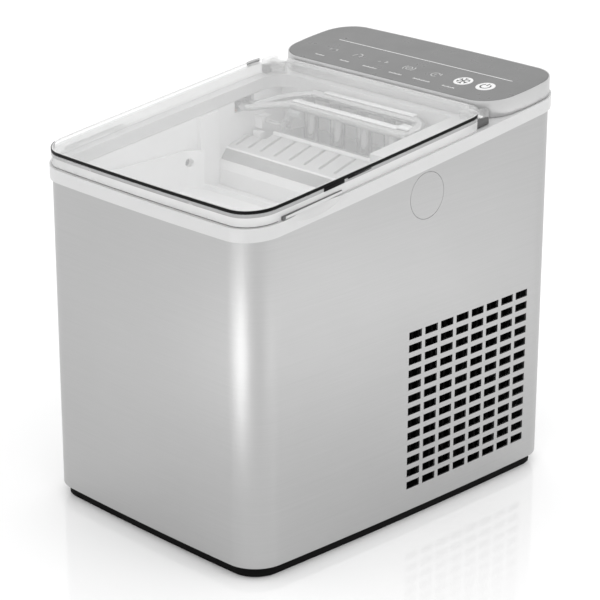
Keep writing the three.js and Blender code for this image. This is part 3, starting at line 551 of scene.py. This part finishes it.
STEEL = brushed_steel()
WHITE = moulded("white_plastic", (0.62, 0.62, 0.62), 0.34, 0.03)
TUB_WHITE = moulded("tub_plastic", (0.87, 0.87, 0.87), 0.4, 0.03)
# Bright white for small white parts; also painted highlight on the bar's top and the comb's lip.
BRIGHT_WHITE_AND_HIGHLIGHT = moulded("bright_white_and_painted_highlight", (0.97, 0.97, 0.97), 0.2, 0.02)
# Painted shade: the grey of the comb's front stands for the shadow under its lip.
COMB_SHADE_GREY = moulded("comb_front_painted_shade", (0.26, 0.26, 0.26), 0.4, 0.03)
COMB_WHITE = moulded("comb_white", (0.6, 0.6, 0.6), 0.4, 0.03)
# Painted shade: the sloping rear wall is a darker copy of the tub's white.
SLOPE_SHADED_WHITE = moulded("slope_white_painted_shade", (0.74, 0.74, 0.74), 0.42, 0.03)
# Black plastic with little shine; on the base pan it also stands for the shadow under the body.
BLACK = moulded("black_plastic", (0.006, 0.006, 0.006), 0.6, 0.1, swing=0.2, shine=0.04)
RUBBER = moulded("rubber", (0.01, 0.01, 0.01), 0.8, 0.2, swing=0.2)
GREY = moulded("grey_plastic", (0.12, 0.125, 0.13), 0.45, 0.08, swing=0.06)
# Dark grey of the hinge blocks; the grips also use it as painted shade.
HINGE_GREY_AND_SHADE = moulded("hinge_grey_and_painted_shade", (0.09, 0.09, 0.09), 0.3, 0.04, swing=0.06)
SILVER = moulded("silver_paint", (0.56, 0.56, 0.56), 0.32, 0.04, metallic=0.85)
PANEL = moulded("panel_grey", (0.15, 0.15, 0.15), 0.3, 0.01, swing=0.03, shine=0.45)
BUTTON = moulded("button_white", (0.85, 0.85, 0.85), 0.35, 0.02)
PRINT = moulded("print_white", (0.8, 0.8, 0.8), 0.5, 0.02)
PRINT_FAINT = moulded("print_faint", (0.66, 0.66, 0.66), 0.5, 0.02)
PRINT_DARK = moulded("print_dark", (0.08, 0.08, 0.08), 0.5, 0.02)
TRAY = moulded("tray_grey", (0.3, 0.3, 0.31), 0.3, 0.02)
# Clear plastics: their pale veils are painted reflection, thicker on the skirt.
CLEAR = clear_plastic("clear_plastic", (0.98, 0.985, 0.985), 0.24)
CLEAR_SKIRT = clear_plastic("clear_skirt", (0.86, 0.86, 0.86), 0.5)
CLEAR_FAINT = clear_plastic("clear_faint", (0.8, 0.8, 0.8), 0.22)
CLEAR_GREY = clear_plastic("lid_edge_shade", (0.4, 0.4, 0.4), 0.5)
# Painted shadow: the dark seam band at the lid's foot.
SEAM_SHADE = clear_plastic("lid_joint_shade", (0.1, 0.1, 0.1), 0.6)
# Painted dark: the black of the lid's edge line and of the wedges under it, standing for refraction
# and shadow.
LID_EDGE_DARK = moulded("lid_edge_painted_dark", (0.006, 0.006, 0.006), 0.4, 0.02, swing=0.2, shine=0.08)
NICKEL = metal("nickel", (0.82, 0.82, 0.81), 0.12)
# Painted shade: darker copies of the nickel for the bar and its tails, darker still for the fingers
# that hang in the shaded cavity.
BAR_NICKEL = metal("bar_nickel_painted_shade", (0.5, 0.5, 0.5), 0.14)
FINGER = metal("finger_nickel_painted_shade", (0.3, 0.3, 0.3), 0.16)
ZINC = metal("zinc", (0.5, 0.52, 0.53), 0.4)
# Condenser: black paint, taken darker still as painted shade so the cabinet reads dark through the
# vents.
FINS = moulded("condenser_black_and_painted_shade", (0.004, 0.004, 0.004), 0.6, 0.05, swing=0.2, shine=0.05)
COPPER = metal("copper", (0.6, 0.3, 0.18), 0.3)
ENAMEL = moulded("black_enamel", (0.015, 0.015, 0.015), 0.3, 0.05, swing=0.2)
HOSE = clear_plastic("clear_hose", (0.75, 0.78, 0.78), 0.75, 0.3)
FOAM = foam()
BOARD = circuit_board()

BODY = "cabinet"


# ---------- outer body ----------
def vent_tool(x0, x1, first_cols, cols):
    """Vent holes that each span a number of columns."""
    holes = []
    for first in first_cols:
        y0 = VENT_Y + first * VENT_PITCH_Y - VENT_W / 2
        y1 = y0 + (cols - 1) * VENT_PITCH_Y + VENT_W
        for row in range(VENT_ROWS):
            z = VENT_Z + row * VENT_PITCH_Z
            holes.append(block("hole", x0, x1, y0, y1, z - VENT_H / 2, z + VENT_H / 2))
    return joined("holes", holes)


def build_wrap():
    wrap = ring("steel_wrap_fine", body_outline(0), body_outline(-SHEET), level(STEEL_BOTTOM), deck(0))
    boolean(wrap, vent_tool(INSIDE, OUTSIDE, range(VENT_COLS), 1))
    boolean(wrap, vent_tool(-OUTSIDE, -INSIDE, range(0, VENT_COLS, SLOT_COLS), SLOT_COLS))
    boolean(wrap, block("window", -REAR_WINDOW_X, REAR_WINDOW_X, 140, 170, *REAR_WINDOW_Z))
    boolean(wrap, rod("cap_hole", "x", CAP_R + CAP_GAP, 30, (INSIDE, CAP_Y, CAP_Z), 96))
    shade(wrap)
    finish(wrap, BODY, "brushed_steel", STEEL, "steel_wrap")
    reach = BODY_W / 2 + SIDE_BOW
    cap = rod("side_cap_fine", "x", CAP_R - CAP_GAP, CAP_T, (reach - CAP_T - 0.03, CAP_Y, CAP_Z), 96)
    shade(cap)
    finish(cap, BODY, "brushed_steel", STEEL, "side_cap")


def build_base():
    # Black plastic pan, taken down near the floor with little shine: also painted shadow for the dark
    # gap under the body.
    inner = body_outline(-PAN_INSET - 3)
    pan = ring("base_pan_fine", body_outline(-PAN_INSET), inner, level(PAN_BOTTOM), level(PAN_TOP))
    floor = prism("base_floor_fine", inner, level(PAN_BOTTOM), level(PAN_FLOOR))
    pan = joined("base_pan_fine", [pan, floor])
    shade(pan)
    finish(pan, BODY, "black_plastic", BLACK, "base_pan")


def scoop_tool(side):
    work = bmesh.new()
    bmesh.ops.create_uvsphere(work, u_segments=48, v_segments=32, radius=1)
    place = Vector((side * (BODY_W / 2 + RIM_PROUD + SIDE_BOW + 1.2), SCOOP_Y, deck(RIM_H)(SCOOP_Y)))
    tilt = Matrix.Rotation(math.atan(SLOPE), 4, "X")
    size = Matrix.Diagonal((5, SCOOP_LEN / 2, 7, 1))
    matrix = Matrix.Scale(MM, 4) @ Matrix.Translation(place) @ tilt @ size
    bmesh.ops.transform(work, matrix=matrix, verts=work.verts)
    mesh = bpy.data.meshes.new("scoop")
    work.to_mesh(mesh)
    work.free()
    obj = bpy.data.objects.new("scoop", mesh)
    bpy.context.collection.objects.link(obj)
    return obj


def build_rim():
    rim = prism("top_rim_fine", body_outline(RIM_PROUD), deck(GAP), deck(RIM_H))
    opening = outline(TUB_W / 2 - TUB_WALL, TUB_FRONT + TUB_WALL, MOUTH_REAR, MOUTH_R)
    mouth = prism("mouth", opening, level(UNDER), level(OVER))
    boolean(mouth, block("shelf", SHELF_X, OUTSIDE, STEP_Y, 100, UNDER - 10, OVER + 10))
    boolean(rim, mouth)
    boolean(rim, prism("wires", outline(96, 84, 146, 14), level(UNDER), level(OVER)))
    for side in (-1, 1):
        boolean(rim, scoop_tool(side))
    soften(rim, 0.7, 3, 50)
    finish(rim, BODY, "white_plastic", WHITE, "top_rim")


# ---------- console ----------
def cut_wells(obj, gap):
    """Round wells for the two buttons."""
    for x in (SELECT_X, POWER_X):
        boolean(obj, rod("well", "z", BUTTON_R + gap, 60, (x, BUTTON_Y, 270), 64))


def build_console():
    shell = prism("console_fine", console_outline(0), deck(RIM_H + GAP), panel(0))
    boolean(shell, prism("recess", console_outline(-1.1), panel(-OVERLAY_T - GAP), panel(5)))
    boolean(shell, prism("inside", console_outline(-4.5), deck(0), panel(-4.2)))
    soften(shell, 0.35, 2, 50)
    cut_wells(shell, 0.4)
    shade(shell)
    finish(shell, BODY, "silver_paint", SILVER, "console_housing")
    overlay = prism("overlay_fine", console_outline(-1.25), panel(-OVERLAY_T), panel(-0.02))
    cut_wells(overlay, 0.15)
    shade(overlay)
    finish(overlay, BODY, "panel_grey", PANEL, "panel_overlay")
    for name, x in (("select_button", SELECT_X), ("power_button", POWER_X)):
        plan = circle_outline(x, BUTTON_Y, BUTTON_R, 64)
        head = prism(f"{name}_fine", plan, panel(-7), panel(0.15))
        soften(head, 0.25, 3)
        finish(head, name, "button_white", BUTTON, name)


def on_panel(name, shapes, material, body=BODY, lift=0.03):
    """Flat printed shapes lying on the panel."""
    verts = []
    faces = []
    for points in shapes:
        faces.append(tuple(range(len(verts), len(verts) + len(points))))
        verts += [(x, y, panel(lift)(y)) for x, y in points]
    mesh = bpy.data.meshes.new(name)
    mesh.from_pydata([Vector(v) * MM for v in verts], [], faces)
    obj = bpy.data.objects.new(name, mesh)
    bpy.context.collection.objects.link(obj)
    finish(obj, body, "button_white", material)
    return obj


def bar(x, y, w, h, turn=0.0):
    c, s = math.cos(turn), math.sin(turn)
    corners = [(-w / 2, -h / 2), (w / 2, -h / 2), (w / 2, h / 2), (-w / 2, h / 2)]
    return [(x + c * a - s * b, y + s * a + c * b) for a, b in corners]


def arc_band(x, y, r, width, start, end, count=20):
    """A curved line as a run of short quads."""
    shapes = []
    for i in range(count):
        a = start + (end - start) * i / count
        b = start + (end - start) * (i + 1) / count
        quad = [(x + (r + o) * math.cos(t), y + (r + o) * math.sin(t))
                for t, o in ((a, -width / 2), (a, width / 2), (b, width / 2), (b, -width / 2))]
        shapes.append(quad)
    return shapes


LABEL_X = (-74.7, -48.2, -21.7, 4.8, 31.3, 57.8)
LABEL_Y = 89.6
LABEL_MARKS = (8, 8, 12, 11, 14, 10)  # small blocks that stand for a word
MARK_PITCH = 1.2
MARK_W = 0.75
ICON_X = [x + 1 for x in LABEL_X]
ICON_Y = 104.6
ICON_LINE = 0.6
FLAKE_R = 4.2
FLAKE_LINE = 0.8
POWER_LINE = 1.1
TURN = 2 * math.pi


def build_labels():
    labels = []
    for x, count in zip(LABEL_X, LABEL_MARKS):
        for k in range(count):
            height = 1.9 if k % 4 == 0 else 1.4
            along = (k - (count - 1) / 2) * MARK_PITCH
            labels.append(bar(x + along, LABEL_Y + height / 2, MARK_W, height))
    on_panel("panel_labels", labels, PRINT)


def build_icons():
    """Five plain line icons: corner marks, an arch, dashes, a ringed dot and a part circle."""
    line = ICON_LINE
    icons = []
    x = ICON_X[0]
    icons.append(bar(x - 3, ICON_Y, line, 3))
    icons.append(bar(x + 2.6, ICON_Y + 1.2, 2.4, line))
    icons.append(bar(x + 3.6, ICON_Y, line, 2.6))
    x = ICON_X[1]
    icons += arc_band(x, ICON_Y, 3.4, line, -0.8, 1.9)
    icons.append(bar(x - 3, ICON_Y, line, 5, -0.35))
    x = ICON_X[2]
    icons.append(bar(x - 3.4, ICON_Y - 1, 2.2, 0.7, 0.5))
    icons.append(bar(x + 2.4, ICON_Y + 0.6, 0.7, 4))
    icons.append(bar(x + 3.8, ICON_Y, 2, line))
    x = ICON_X[3]
    icons += arc_band(x, ICON_Y, 2.6, line, 0, TURN)
    icons += arc_band(x, ICON_Y, 5, line, 2.4, 3.9)
    icons += arc_band(x, ICON_Y, 5, line, -0.75, 0.75)
    icons.append(bar(x, ICON_Y, 2, line, 0.8))
    x = ICON_X[4]
    icons += arc_band(x, ICON_Y, 3.4, line, 0.4, 5.4)
    icons.append(bar(x + 4.4, ICON_Y + 1.6, line, 4, 0.3))
    icons.append(bar(x, ICON_Y, line, 2.4))
    on_panel("panel_icons", icons, PRINT_FAINT)


def build_snowflake():
    flake = []
    arm = FLAKE_R + 0.8
    for k in range(6):
        angle = k * math.pi / 3 + math.pi / 6
        cx = SELECT_X + arm / 2 * math.cos(angle)
        cy = BUTTON_Y + arm / 2 * math.sin(angle)
        flake.append(bar(cx, cy, arm, FLAKE_LINE, angle))
        for side in (-0.6, 0.6):
            cx = SELECT_X + FLAKE_R * math.cos(angle + side * 0.28)
            cy = BUTTON_Y + FLAKE_R * math.sin(angle + side * 0.28)
            flake.append(bar(cx, cy, 2.4, FLAKE_LINE, angle + side))
    on_panel("select_mark", flake, PRINT_DARK, "select_button", 0.2)


def build_power_mark():
    start = TURN / 4 + 0.6
    end = TURN * 5 / 4 - 0.6
    mark = arc_band(POWER_X, BUTTON_Y, 3.9, POWER_LINE, start, end)
    mark.append(bar(POWER_X, BUTTON_Y + 3.2, POWER_LINE, 4.2))
    on_panel("power_mark", mark, PRINT_DARK, "power_button", 0.2)


def build_print():
    on_panel("panel_line", [bar(2, 123.6, 177, 0.9)], PRINT)
    build_labels()
    build_icons()
    build_snowflake()
    build_power_mark()


# ---------- lid ----------
def build_lid():
    split = LID_TOP - LID_WALL
    plate = prism("lid_fine", lid_outline(0), deck(split), deck(LID_TOP))
    foot = deck(RIM_H + GAP)
    skirt = ring("lid_skirt", lid_outline(0), lid_outline(LID_WALL), foot, deck(split - 0.02))
    boolean(skirt, block("open_rear", -94, 94, 60, 90, UNDER, OVER))
    for side in (-1, 1):
        x = sorted((side * (KNUCKLE[1] + 0.1), side * OUTSIDE))
        boolean(plate, block("corner", *x, LID_SKIRT_REAR, 100, UNDER, OVER))
        boolean(skirt, block("corner", *x, LID_SKIRT_REAR, 100, UNDER, OVER))
    soften(plate, 0.6, 3, 50)
    finish(plate, "lid", "clear_plastic", CLEAR, "lid")
    shade(skirt)
    finish(skirt, "lid", "clear_plastic", CLEAR_SKIRT)
    edge = box_outline(-93, 93, LID_REAR - 1.4, LID_REAR - 0.1)
    bead = prism("lid_rear_bead", edge, deck(split - 0.6), deck(LID_TOP - 0.4))
    finish(bead, "lid", "clear_plastic", CLEAR_SKIRT)
    build_knuckles()
    build_trim()
    build_edge_shadows()
    build_grips()


def build_knuckles():
    knuckles = []
    hole = PIN_R + 0.25
    length = KNUCKLE[1] - KNUCKLE[0]
    section = [(hole, 0), (KNUCKLE_R, 0), (KNUCKLE_R, length), (hole, length), (hole, 0)]
    for start in (-KNUCKLE[1], KNUCKLE[0]):
        knuckles.append(lathe("barrel", section, "x", (start, PIVOT_Y, PIVOT_Z), 40))
        high = deck(LID_TOP - LID_WALL)(PIVOT_Y - 4)
        knuckles.append(block("web", start, start + length, PIVOT_Y - 4, PIVOT_Y - 2, PIVOT_Z, high))
    lugs = joined("lid_knuckles", knuckles)
    shade(lugs)
    finish(lugs, "lid", "clear_plastic", CLEAR_FAINT)


def edge_band(name, shrinks, low, high, right_only):
    """A band round the lid's rim, from the hinge corners forward."""
    band = ring(name, lid_outline(shrinks[0]), lid_outline(shrinks[1]), low, high)
    boolean(band, block("rear", -OUTSIDE, OUTSIDE, LID_SKIRT_REAR, 100, UNDER, OVER))
    if right_only:
        boolean(band, block("left", -OUTSIDE, -98, FRONT + 14, 50, UNDER, OVER))
    return band


def build_trim():
    """Dark line round the lid's top edge, painted for the darkness that refraction gives the clear
    edge; the left side reads as clear.
    """
    low = LID_TOP - TRIM_H
    edge = edge_band("lid_edge_dark_line", (-0.06, 0.45), deck(low), deck(LID_TOP + 0.03), True)
    finish(edge, "lid", "black_plastic", LID_EDGE_DARK, "lid_edge_trim")
    shadow = edge_band("lid_edge_shade", (-0.03, 0.1), deck(low - 2.6), deck(low - 0.05), True)
    finish(shadow, "lid", "clear_plastic", CLEAR_GREY)
    foot = deck(RIM_H + GAP)
    # Painted shadow: dark band along the front at the lid's foot, the shade in the seam between lid
    # and rim.
    joint = ring("lid_seam_painted_shadow", lid_outline(-0.03), lid_outline(0.2), foot, deck(RIM_H + 0.75))
    boolean(joint, block("rear", -OUTSIDE, OUTSIDE, FRONT + LID_R, 100, UNDER, OVER))
    finish(joint, "lid", "clear_plastic", SEAM_SHADE)
    # Painted light: a pale band inside the dark line, so the far edges read light through the lid.
    light = edge_band("lid_inner_painted_light", (0.5, 1.5), deck(LID_TOP - 0.6), deck(LID_TOP + 0.02), False)
    finish(light, "lid", "clear_plastic", CLEAR_SKIRT)


def build_edge_shadows():
    """Dark wedges under the lid's right edge: painted shadow below the dark line."""
    for name, y0, y1, depth in EDGE_SHADOWS:
        plan = box_outline(*EDGE_SHADOW_X, y0, y1)
        clip = prism(f"lid_edge_shadow_{name}", plan, deck(LID_TOP - depth), deck(LID_TOP - TRIM_H))
        soften(clip, 0.4, 2)
        finish(clip, "lid", "black_plastic", LID_EDGE_DARK)


def build_grips():
    """Finger bars on the lid's sides, above the hollows in the rim: a white bar painted as the
    highlight on the lid's lower edge, with a dark line above it and a dark dot at its end painted as
    shade.
    """
    start = SCOOP_Y - SCOOP_LEN / 2
    for name, side in (("left", -1), ("right", 1)):
        x = sorted(side * value for value in GRIP_X)
        plan = box_outline(*x, start, start + SCOOP_LEN)
        # Painted highlight: white bar for the lit lower edge of the clear lid.
        grip_highlight = prism(f"lid_grip_{name}", plan, deck(RIM_H + 0.5), deck(RIM_H + 2.6))
        soften(grip_highlight, 0.4, 2)
        finish(grip_highlight, "lid", "white_plastic", WHITE)
        # Painted shade: dark line above the bar and dark dot at its end.
        line = prism(f"lid_grip_shade_line_{name}", plan, deck(RIM_H + 2.65), deck(RIM_H + 3))
        finish(line, "lid", "black_plastic", HINGE_GREY_AND_SHADE)
        plan = box_outline(*x, start - 2.6, start - 0.2)
        dot = prism(f"lid_grip_shade_dot_{name}", plan, deck(RIM_H + 0.7), deck(RIM_H + 3.1))
        finish(dot, "lid", "black_plastic", HINGE_GREY_AND_SHADE)


def build_hinges():
    """Dark blocks on the rim under clear caps that fill the lid's corners."""
    front, rear = BLOCK_Y
    for name, side in (("left", -1), ("right", 1)):
        x = sorted((side * (KNUCKLE[1] + 0.5), side * BLOCK_OUTER))
        plan = box_outline(*x, front, rear)
        base = prism(f"hinge_block_fine_{name}", plan, deck(RIM_H + GAP), level(BLOCK_TOP))
        soften(base, 0.8, 3)
        finish(base, BODY, "grey_plastic", HINGE_GREY_AND_SHADE, f"hinge_block_{name}")
        cap = prism(f"hinge_cap_{name}", plan, level(BLOCK_TOP + 0.1), deck(LID_TOP - 0.2))
        soften(cap, 1.2, 3)
        finish(cap, BODY, "clear_plastic", CLEAR_FAINT)


def build_tub():
    half = TUB_W / 2
    inner = half - TUB_WALL
    plan = outline(half, TUB_FRONT, TUB_REAR, MOUTH_R + TUB_WALL)
    tub = prism("tub_fine", plan, level(WELL_FLOOR - TUB_WALL), deck(0))
    boolean(tub, block("behind", -OUTSIDE, OUTSIDE, WEIR_FRONT - GAP / 2, 130, 100, OVER))
    front = outline(inner, TUB_FRONT + TUB_WALL, STEP_Y - 12, MOUTH_R)
    boolean(tub, prism("front", front, level(WELL_FLOOR), level(OVER)))
    boolean(tub, block("square", -inner, inner, STEP_Y - 40, STEP_Y, WELL_FLOOR, OVER))
    boolean(tub, block("passage", -STEP_X, SHELF_X, STEP_Y - 1, 40, WELL_FLOOR, OVER))
    boolean(tub, prism("water", outline(92, -138, -18, 11), level(190), level(WELL_FLOOR + 1)))
    boolean(tub, rod("eyes", "x", EYE_R, 2 * OUTSIDE, (-OUTSIDE, EYE_Y, EYE_Z), 32))
    soften(tub, 1.4, 3, 50)
    finish(tub, BODY, "white_plastic", TUB_WHITE, "tub")


def slot_tool():
    cols, rows = SLOTS
    pitch_x, pitch_y = SLOT_PITCH
    slots = []
    for row in range(rows):
        for col in range(cols):
            x = (col - (cols - 1) / 2) * pitch_x
            y = BASKET_FRONT + 17 + row * pitch_y
            slots.append(block("slot", x - 7, x + 7, y, y + 3, UNDER, 215))
    return joined("slots", slots)


def build_basket():
    floor = WELL_FLOOR + GAP
    rear = STEP_Y - 0.6
    wall = BASKET_WALL
    above = BASKET_TOP + 5
    outer = outline(BASKET_X, BASKET_FRONT, rear, BASKET_R)
    inner = outline(BASKET_X - wall, BASKET_FRONT + wall, rear - wall, BASKET_R - 2)
    basket = prism("basket_fine", outer, level(floor), level(BASKET_TOP))
    boolean(basket, prism("inner", inner, level(floor + BASKET_FLOOR_T), level(above)))
    boolean(basket, block("mouth", -92, 92, STEP_Y - 4, STEP_Y + 2, 214, above))
    boolean(basket, slot_tool())
    boolean(basket, rod("eyes", "x", EYE_R - 0.2, 240, (-120, EYE_Y, EYE_Z), 32))
    soften(basket, 0.7, 3, 50)
    finish(basket, "ice_basket", "white_plastic", TUB_WHITE, "ice_basket")


# ---------- ice making ----------
def build_pipe():
    """The bent bar and its thinner tails, which leave at the left."""
    ay, az = BAR_A
    by, bz = BAR_B
    bend = [(55, ay + 3, az + 1), (57, (ay + by) / 2, (az + bz) / 2), (55, by - 3, bz - 1)]
    front_run = [(x, ay, az) for x in (-62, -30, 10, 46)]
    rear_run = [(x, by, bz) for x in (46, 10, -30, -56)]
    pipe = tube("evaporator_fine", front_run + bend + rear_run, BAR_R, 8, 24)
    shade(pipe, 40)
    # Darker nickel than the pins: painted shade on the bar's sides.
    finish(pipe, BODY, "nickel", BAR_NICKEL, "evaporator")
    inlet = [(-106, 31, 264), (-92, 31, 264.5), (-78, 41, 267), (-62, ay, az), (-58, ay, az)]
    outlet = [(-106, 41, 264.5), (-92, 41, 265.5), (-74, 55, 272), (-56, by, bz), (-52, by, bz)]
    tails = joined("evaporator_tails", [tube("tail", path, TAIL_R) for path in (inlet, outlet)])
    shade(tails, 40)
    finish(tails, BODY, "nickel", BAR_NICKEL)


def finger(x, y, z):
    """A rod with a round tip, hanging from the bar."""
    tip = FINGER_TIP - z
    section = [
        (0, tip),
        (FINGER_R * 0.5, tip + 0.5),
        (FINGER_R * 0.86, tip + 2),
        (FINGER_R, tip + 4.5),
        (FINGER_R, -1.6),
        (FINGER_R - 0.6, -1),
        (0, -1),
    ]
    return lathe("finger", section, "z", (x, y, z), 28)


def build_fingers():
    ay, az = BAR_A
    by, bz = BAR_B
    fingers = [finger(-47 + k * FINGER_PITCH, ay + 6, az) for k in range(4)]
    fingers += [finger(-61 + k * FINGER_PITCH, by - 1, bz) for k in range(5)]
    fingers = joined("ice_fingers", fingers)
    shade(fingers, 40)
    # Darkest nickel: painted shade on the fingers.
    finish(fingers, BODY, "nickel", FINGER)


def build_bar_highlights():
    """Bright white strips along the top of the bar: painted highlights where the light glints on it.
    """
    ay, az = BAR_A
    by, bz = BAR_B
    top_a = az + BAR_R
    top_b = bz + BAR_R
    strips = [
        block("strip", -60, 47, ay - 3.1, ay + 3.1, top_a - 0.5, top_a + 0.5),
        block("strip", -44, 47, by - 2.8, by + 2.8, top_b - 0.5, top_b + 0.5),
        block("strip", 46, 57, ay - 2, ay + 7, top_a + 0.2, top_a + 1.8),
    ]
    flats = joined("evaporator_painted_highlights", strips)
    soften(flats, 0.3, 2)
    finish(flats, BODY, "nickel", BRIGHT_WHITE_AND_HIGHLIGHT)


def build_evaporator():
    build_pipe()
    build_fingers()
    build_bar_highlights()


def build_slope():
    """Wall that slopes up to the rear edge of the opening, painted a darker white than the tub as the
    shade that falls on it, and a stub by the pipe's bend.
    """
    rear = MAKER_REAR - 0.2
    points = [(rear, SLOPE_Z[0]), (rear, SLOPE_Z[1]), (MOUTH_REAR + 0.4, SLOPE_Z[1])]
    slope = profile("maker_slope", points, MAKER_LEFT + 0.4, MAKER_RIGHT)
    finish(slope, BODY, "white_plastic", SLOPE_SHADED_WHITE)
    stub = block("pipe_stub", 46, 57.5, 54.5, 60.5, 268, 271.5)
    soften(stub, 0.6, 2)
    finish(stub, BODY, "white_plastic", BRIGHT_WHITE_AND_HIGHLIGHT)


def build_comb():
    """Grey face, painted shade under the lip, and bright lip, painted highlight, in front of the ice
    slide, and its left clip.
    """
    x0 = MAKER_LEFT + 0.4
    x1 = SHELF_X - 0.4
    low = WEIR_TOP + 0.1
    high = WEIR_TOP + COMB_H
    face = profile("comb_face_painted_shade", [(11.2, low), (17.4, low), (17.4, high), (16.6, high)], x0, x1)
    finish(face, BODY, "white_plastic", COMB_SHADE_GREY)
    # Bright lip: painted highlight along the comb's rounded front edge.
    lip = rod("comb_lip", "x", 0.9, x1 - x0, (x0, 17, high + 0.6), 24)
    shade(lip)
    finish(lip, BODY, "white_plastic", BRIGHT_WHITE_AND_HIGHLIGHT)
    clip = block("bearing_clip", -97, -88.5, 40.5, 46, 238.6, 243.6)
    soften(clip, 0.6, 2)
    finish(clip, BODY, "white_plastic", BRIGHT_WHITE_AND_HIGHLIGHT)


# ---------- CAD nodes that keep their shape ----------
# Material, width of the rounded edges and the nodes that have them.
KEPT = (
    (RUBBER, 0.4, ("foot_front_left", "foot_front_right", "foot_rear_left", "foot_rear_right")),
    (RUBBER, 0.3, ("grommet_1", "grommet_2", "grommet_3")),
    (GREY, 0.2, ("rear_panel", "ice_sensor_left", "ice_sensor_right")),
    (GREY, 0.4, ("pump",)),
    (GREY, 0.6, ("tray_motor",)),
    (ZINC, 0.3, ("rear_screw_1", "rear_screw_2", "rear_screw_3", "rear_screw_4")),
    (ZINC, 0.1, ("partition",)),
    (WHITE, 0.3, ("drain_spout", "evaporator_bracket")),
    (TUB_WHITE, 0.6, ("reservoir",)),
    (TUB_WHITE, 0.7, ("maker_box",)),
    (TUB_WHITE, 0.4, ("ice_shovel",)),
    (COMB_WHITE, 0.3, ("comb_slide",)),
    (TRAY, 0.3, ("water_tray",)),
    (BLACK, 0.2, ("fan_shroud", "fan")),
    (BLACK, 0.3, ("drain_cap",)),
    (BLACK, 0.4, ("cord_gland",)),
    (BOARD, 0.1, ("control_board",)),
    (BOARD, 0.2, ("power_board",)),
    (NICKEL, 0.1, ("hinge_pin_left", "hinge_pin_right", "tray_axle", "motor_shaft")),
    (ENAMEL, 0.5, ("compressor",)),
    (ENAMEL, 0.4, ("fan_motor",)),
    (FOAM, 0.5, ("foam_jacket",)),
    (FINS, 0, ("condenser",)),
    (HOSE, 0, ("fill_hose", "drain_hose")),
    (COPPER, 0, ("filter_drier", "discharge_line", "liquid_line", "suction_line", "capillary_line")),
)


def round_edges(obj, width):
    modifier = obj.modifiers.new("edges", "BEVEL")
    modifier.width = width * MM
    modifier.segments = 2
    modifier.limit_method = "ANGLE"
    modifier.angle_limit = math.radians(40)


def dress_kept():
    for material, width, names in KEPT:
        for name in names:
            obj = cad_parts[name]
            obj.data.materials.clear()
            obj.data.materials.append(material)
            if width:
                round_edges(obj, width)


# ---------- studio ----------
CAMERA_AT = (1.13119, -1.10733, 0.72541)
CAMERA_AZIMUTH = 45.698
CAMERA_ELEVATION = 20.267
CAMERA_ROLL = -0.074
CAMERA_LENS = 136.44
FLOOR_REACH = 6000
FLOOR_GLOW = 0.07
SKY_STRENGTH = 1.08


def add_camera():
    data = bpy.data.cameras.new("camera")
    data.lens = CAMERA_LENS
    data.sensor_width = 36
    data.clip_end = 50
    camera = bpy.data.objects.new("camera", data)
    azimuth = math.radians(CAMERA_AZIMUTH)
    elevation = math.radians(CAMERA_ELEVATION)
    flat = math.cos(elevation)
    back = Vector((math.sin(azimuth) * flat, -math.cos(azimuth) * flat, math.sin(elevation)))
    turn = back.to_track_quat("Z", "Y").to_matrix().to_4x4()
    roll = Matrix.Rotation(math.radians(-CAMERA_ROLL), 4, "Z")
    camera.matrix_world = Matrix.Translation(CAMERA_AT) @ turn @ roll
    bpy.context.collection.objects.link(camera)
    bpy.context.scene.camera = camera


def add_light(name, place, aim, size, power, spread):
    data = bpy.data.lights.new(name, "AREA")
    data.shape = "RECTANGLE"
    data.size, data.size_y = size
    data.energy = power
    data.spread = math.radians(spread)
    light = bpy.data.objects.new(name, data)
    direction = Vector(place) - Vector(aim)
    turn = direction.to_track_quat("Z", "Y").to_matrix().to_4x4()
    light.matrix_world = Matrix.Translation(place) @ turn
    bpy.context.collection.objects.link(light)


# Pools of light on the floor, which the steel corner reflects as two bright bands.
# Each has a name, a place, a size, a power and a spread.
POOL_HEIGHT = 0.55
POOLS = (
    ("front_pool", 0.0, -0.58, (0.34, 0.16), 0.32, 36),
    ("front_pool_near", 0.17, -0.58, (0.14, 0.2), 0.42, 36),
    ("side_pool", 0.58, -0.1, (0.2, 0.2), 0.12, 36),
    ("right_pool", 0.55, 0.3, (0.3, 0.5), 0.2, 50),
)


def add_floor():
    floor = block("floor", -FLOOR_REACH, FLOOR_REACH, -FLOOR_REACH, FLOOR_REACH, -20, 0)
    look = Look("floor_white", (0.97, 0.97, 0.97), 0.08)
    look.tint(look.ramp(look.noise(2.0, 2), 0, 1), 0.995, 1.005)
    look.drive("Roughness", look.ramp(look.noise(3.0, 2), 0.06, 0.1))
    look.put("Emission Color", (1, 1, 1, 1))
    look.put("Emission Strength", FLOOR_GLOW)
    floor.data.materials.append(look.material)


def add_world():
    world = bpy.data.worlds.new("studio")
    bpy.context.scene.world = world
    world.use_nodes = True
    background = world.node_tree.nodes["Background"]
    background.inputs["Color"].default_value = (1, 1, 1, 1)
    background.inputs["Strength"].default_value = SKY_STRENGTH


def add_studio():
    add_floor()
    add_world()
    for name, x, y, size, power, spread in POOLS:
        add_light(name, (x, y, POOL_HEIGHT), (x, y, 0), size, power, spread)
    add_light("side_fill", (1.3, 0.5, 0.9), (0.4, 0.3, 0), (0.8, 0.8), 0.5, 60)
    view = bpy.context.scene.view_settings
    view.view_transform = "Standard"
    view.look = "None"


build_wrap()
build_base()
build_rim()
build_console()
build_print()
build_lid()
build_tub()
build_basket()
build_evaporator()
build_slope()
build_comb()
build_hinges()
dress_kept()
add_camera()
add_studio()
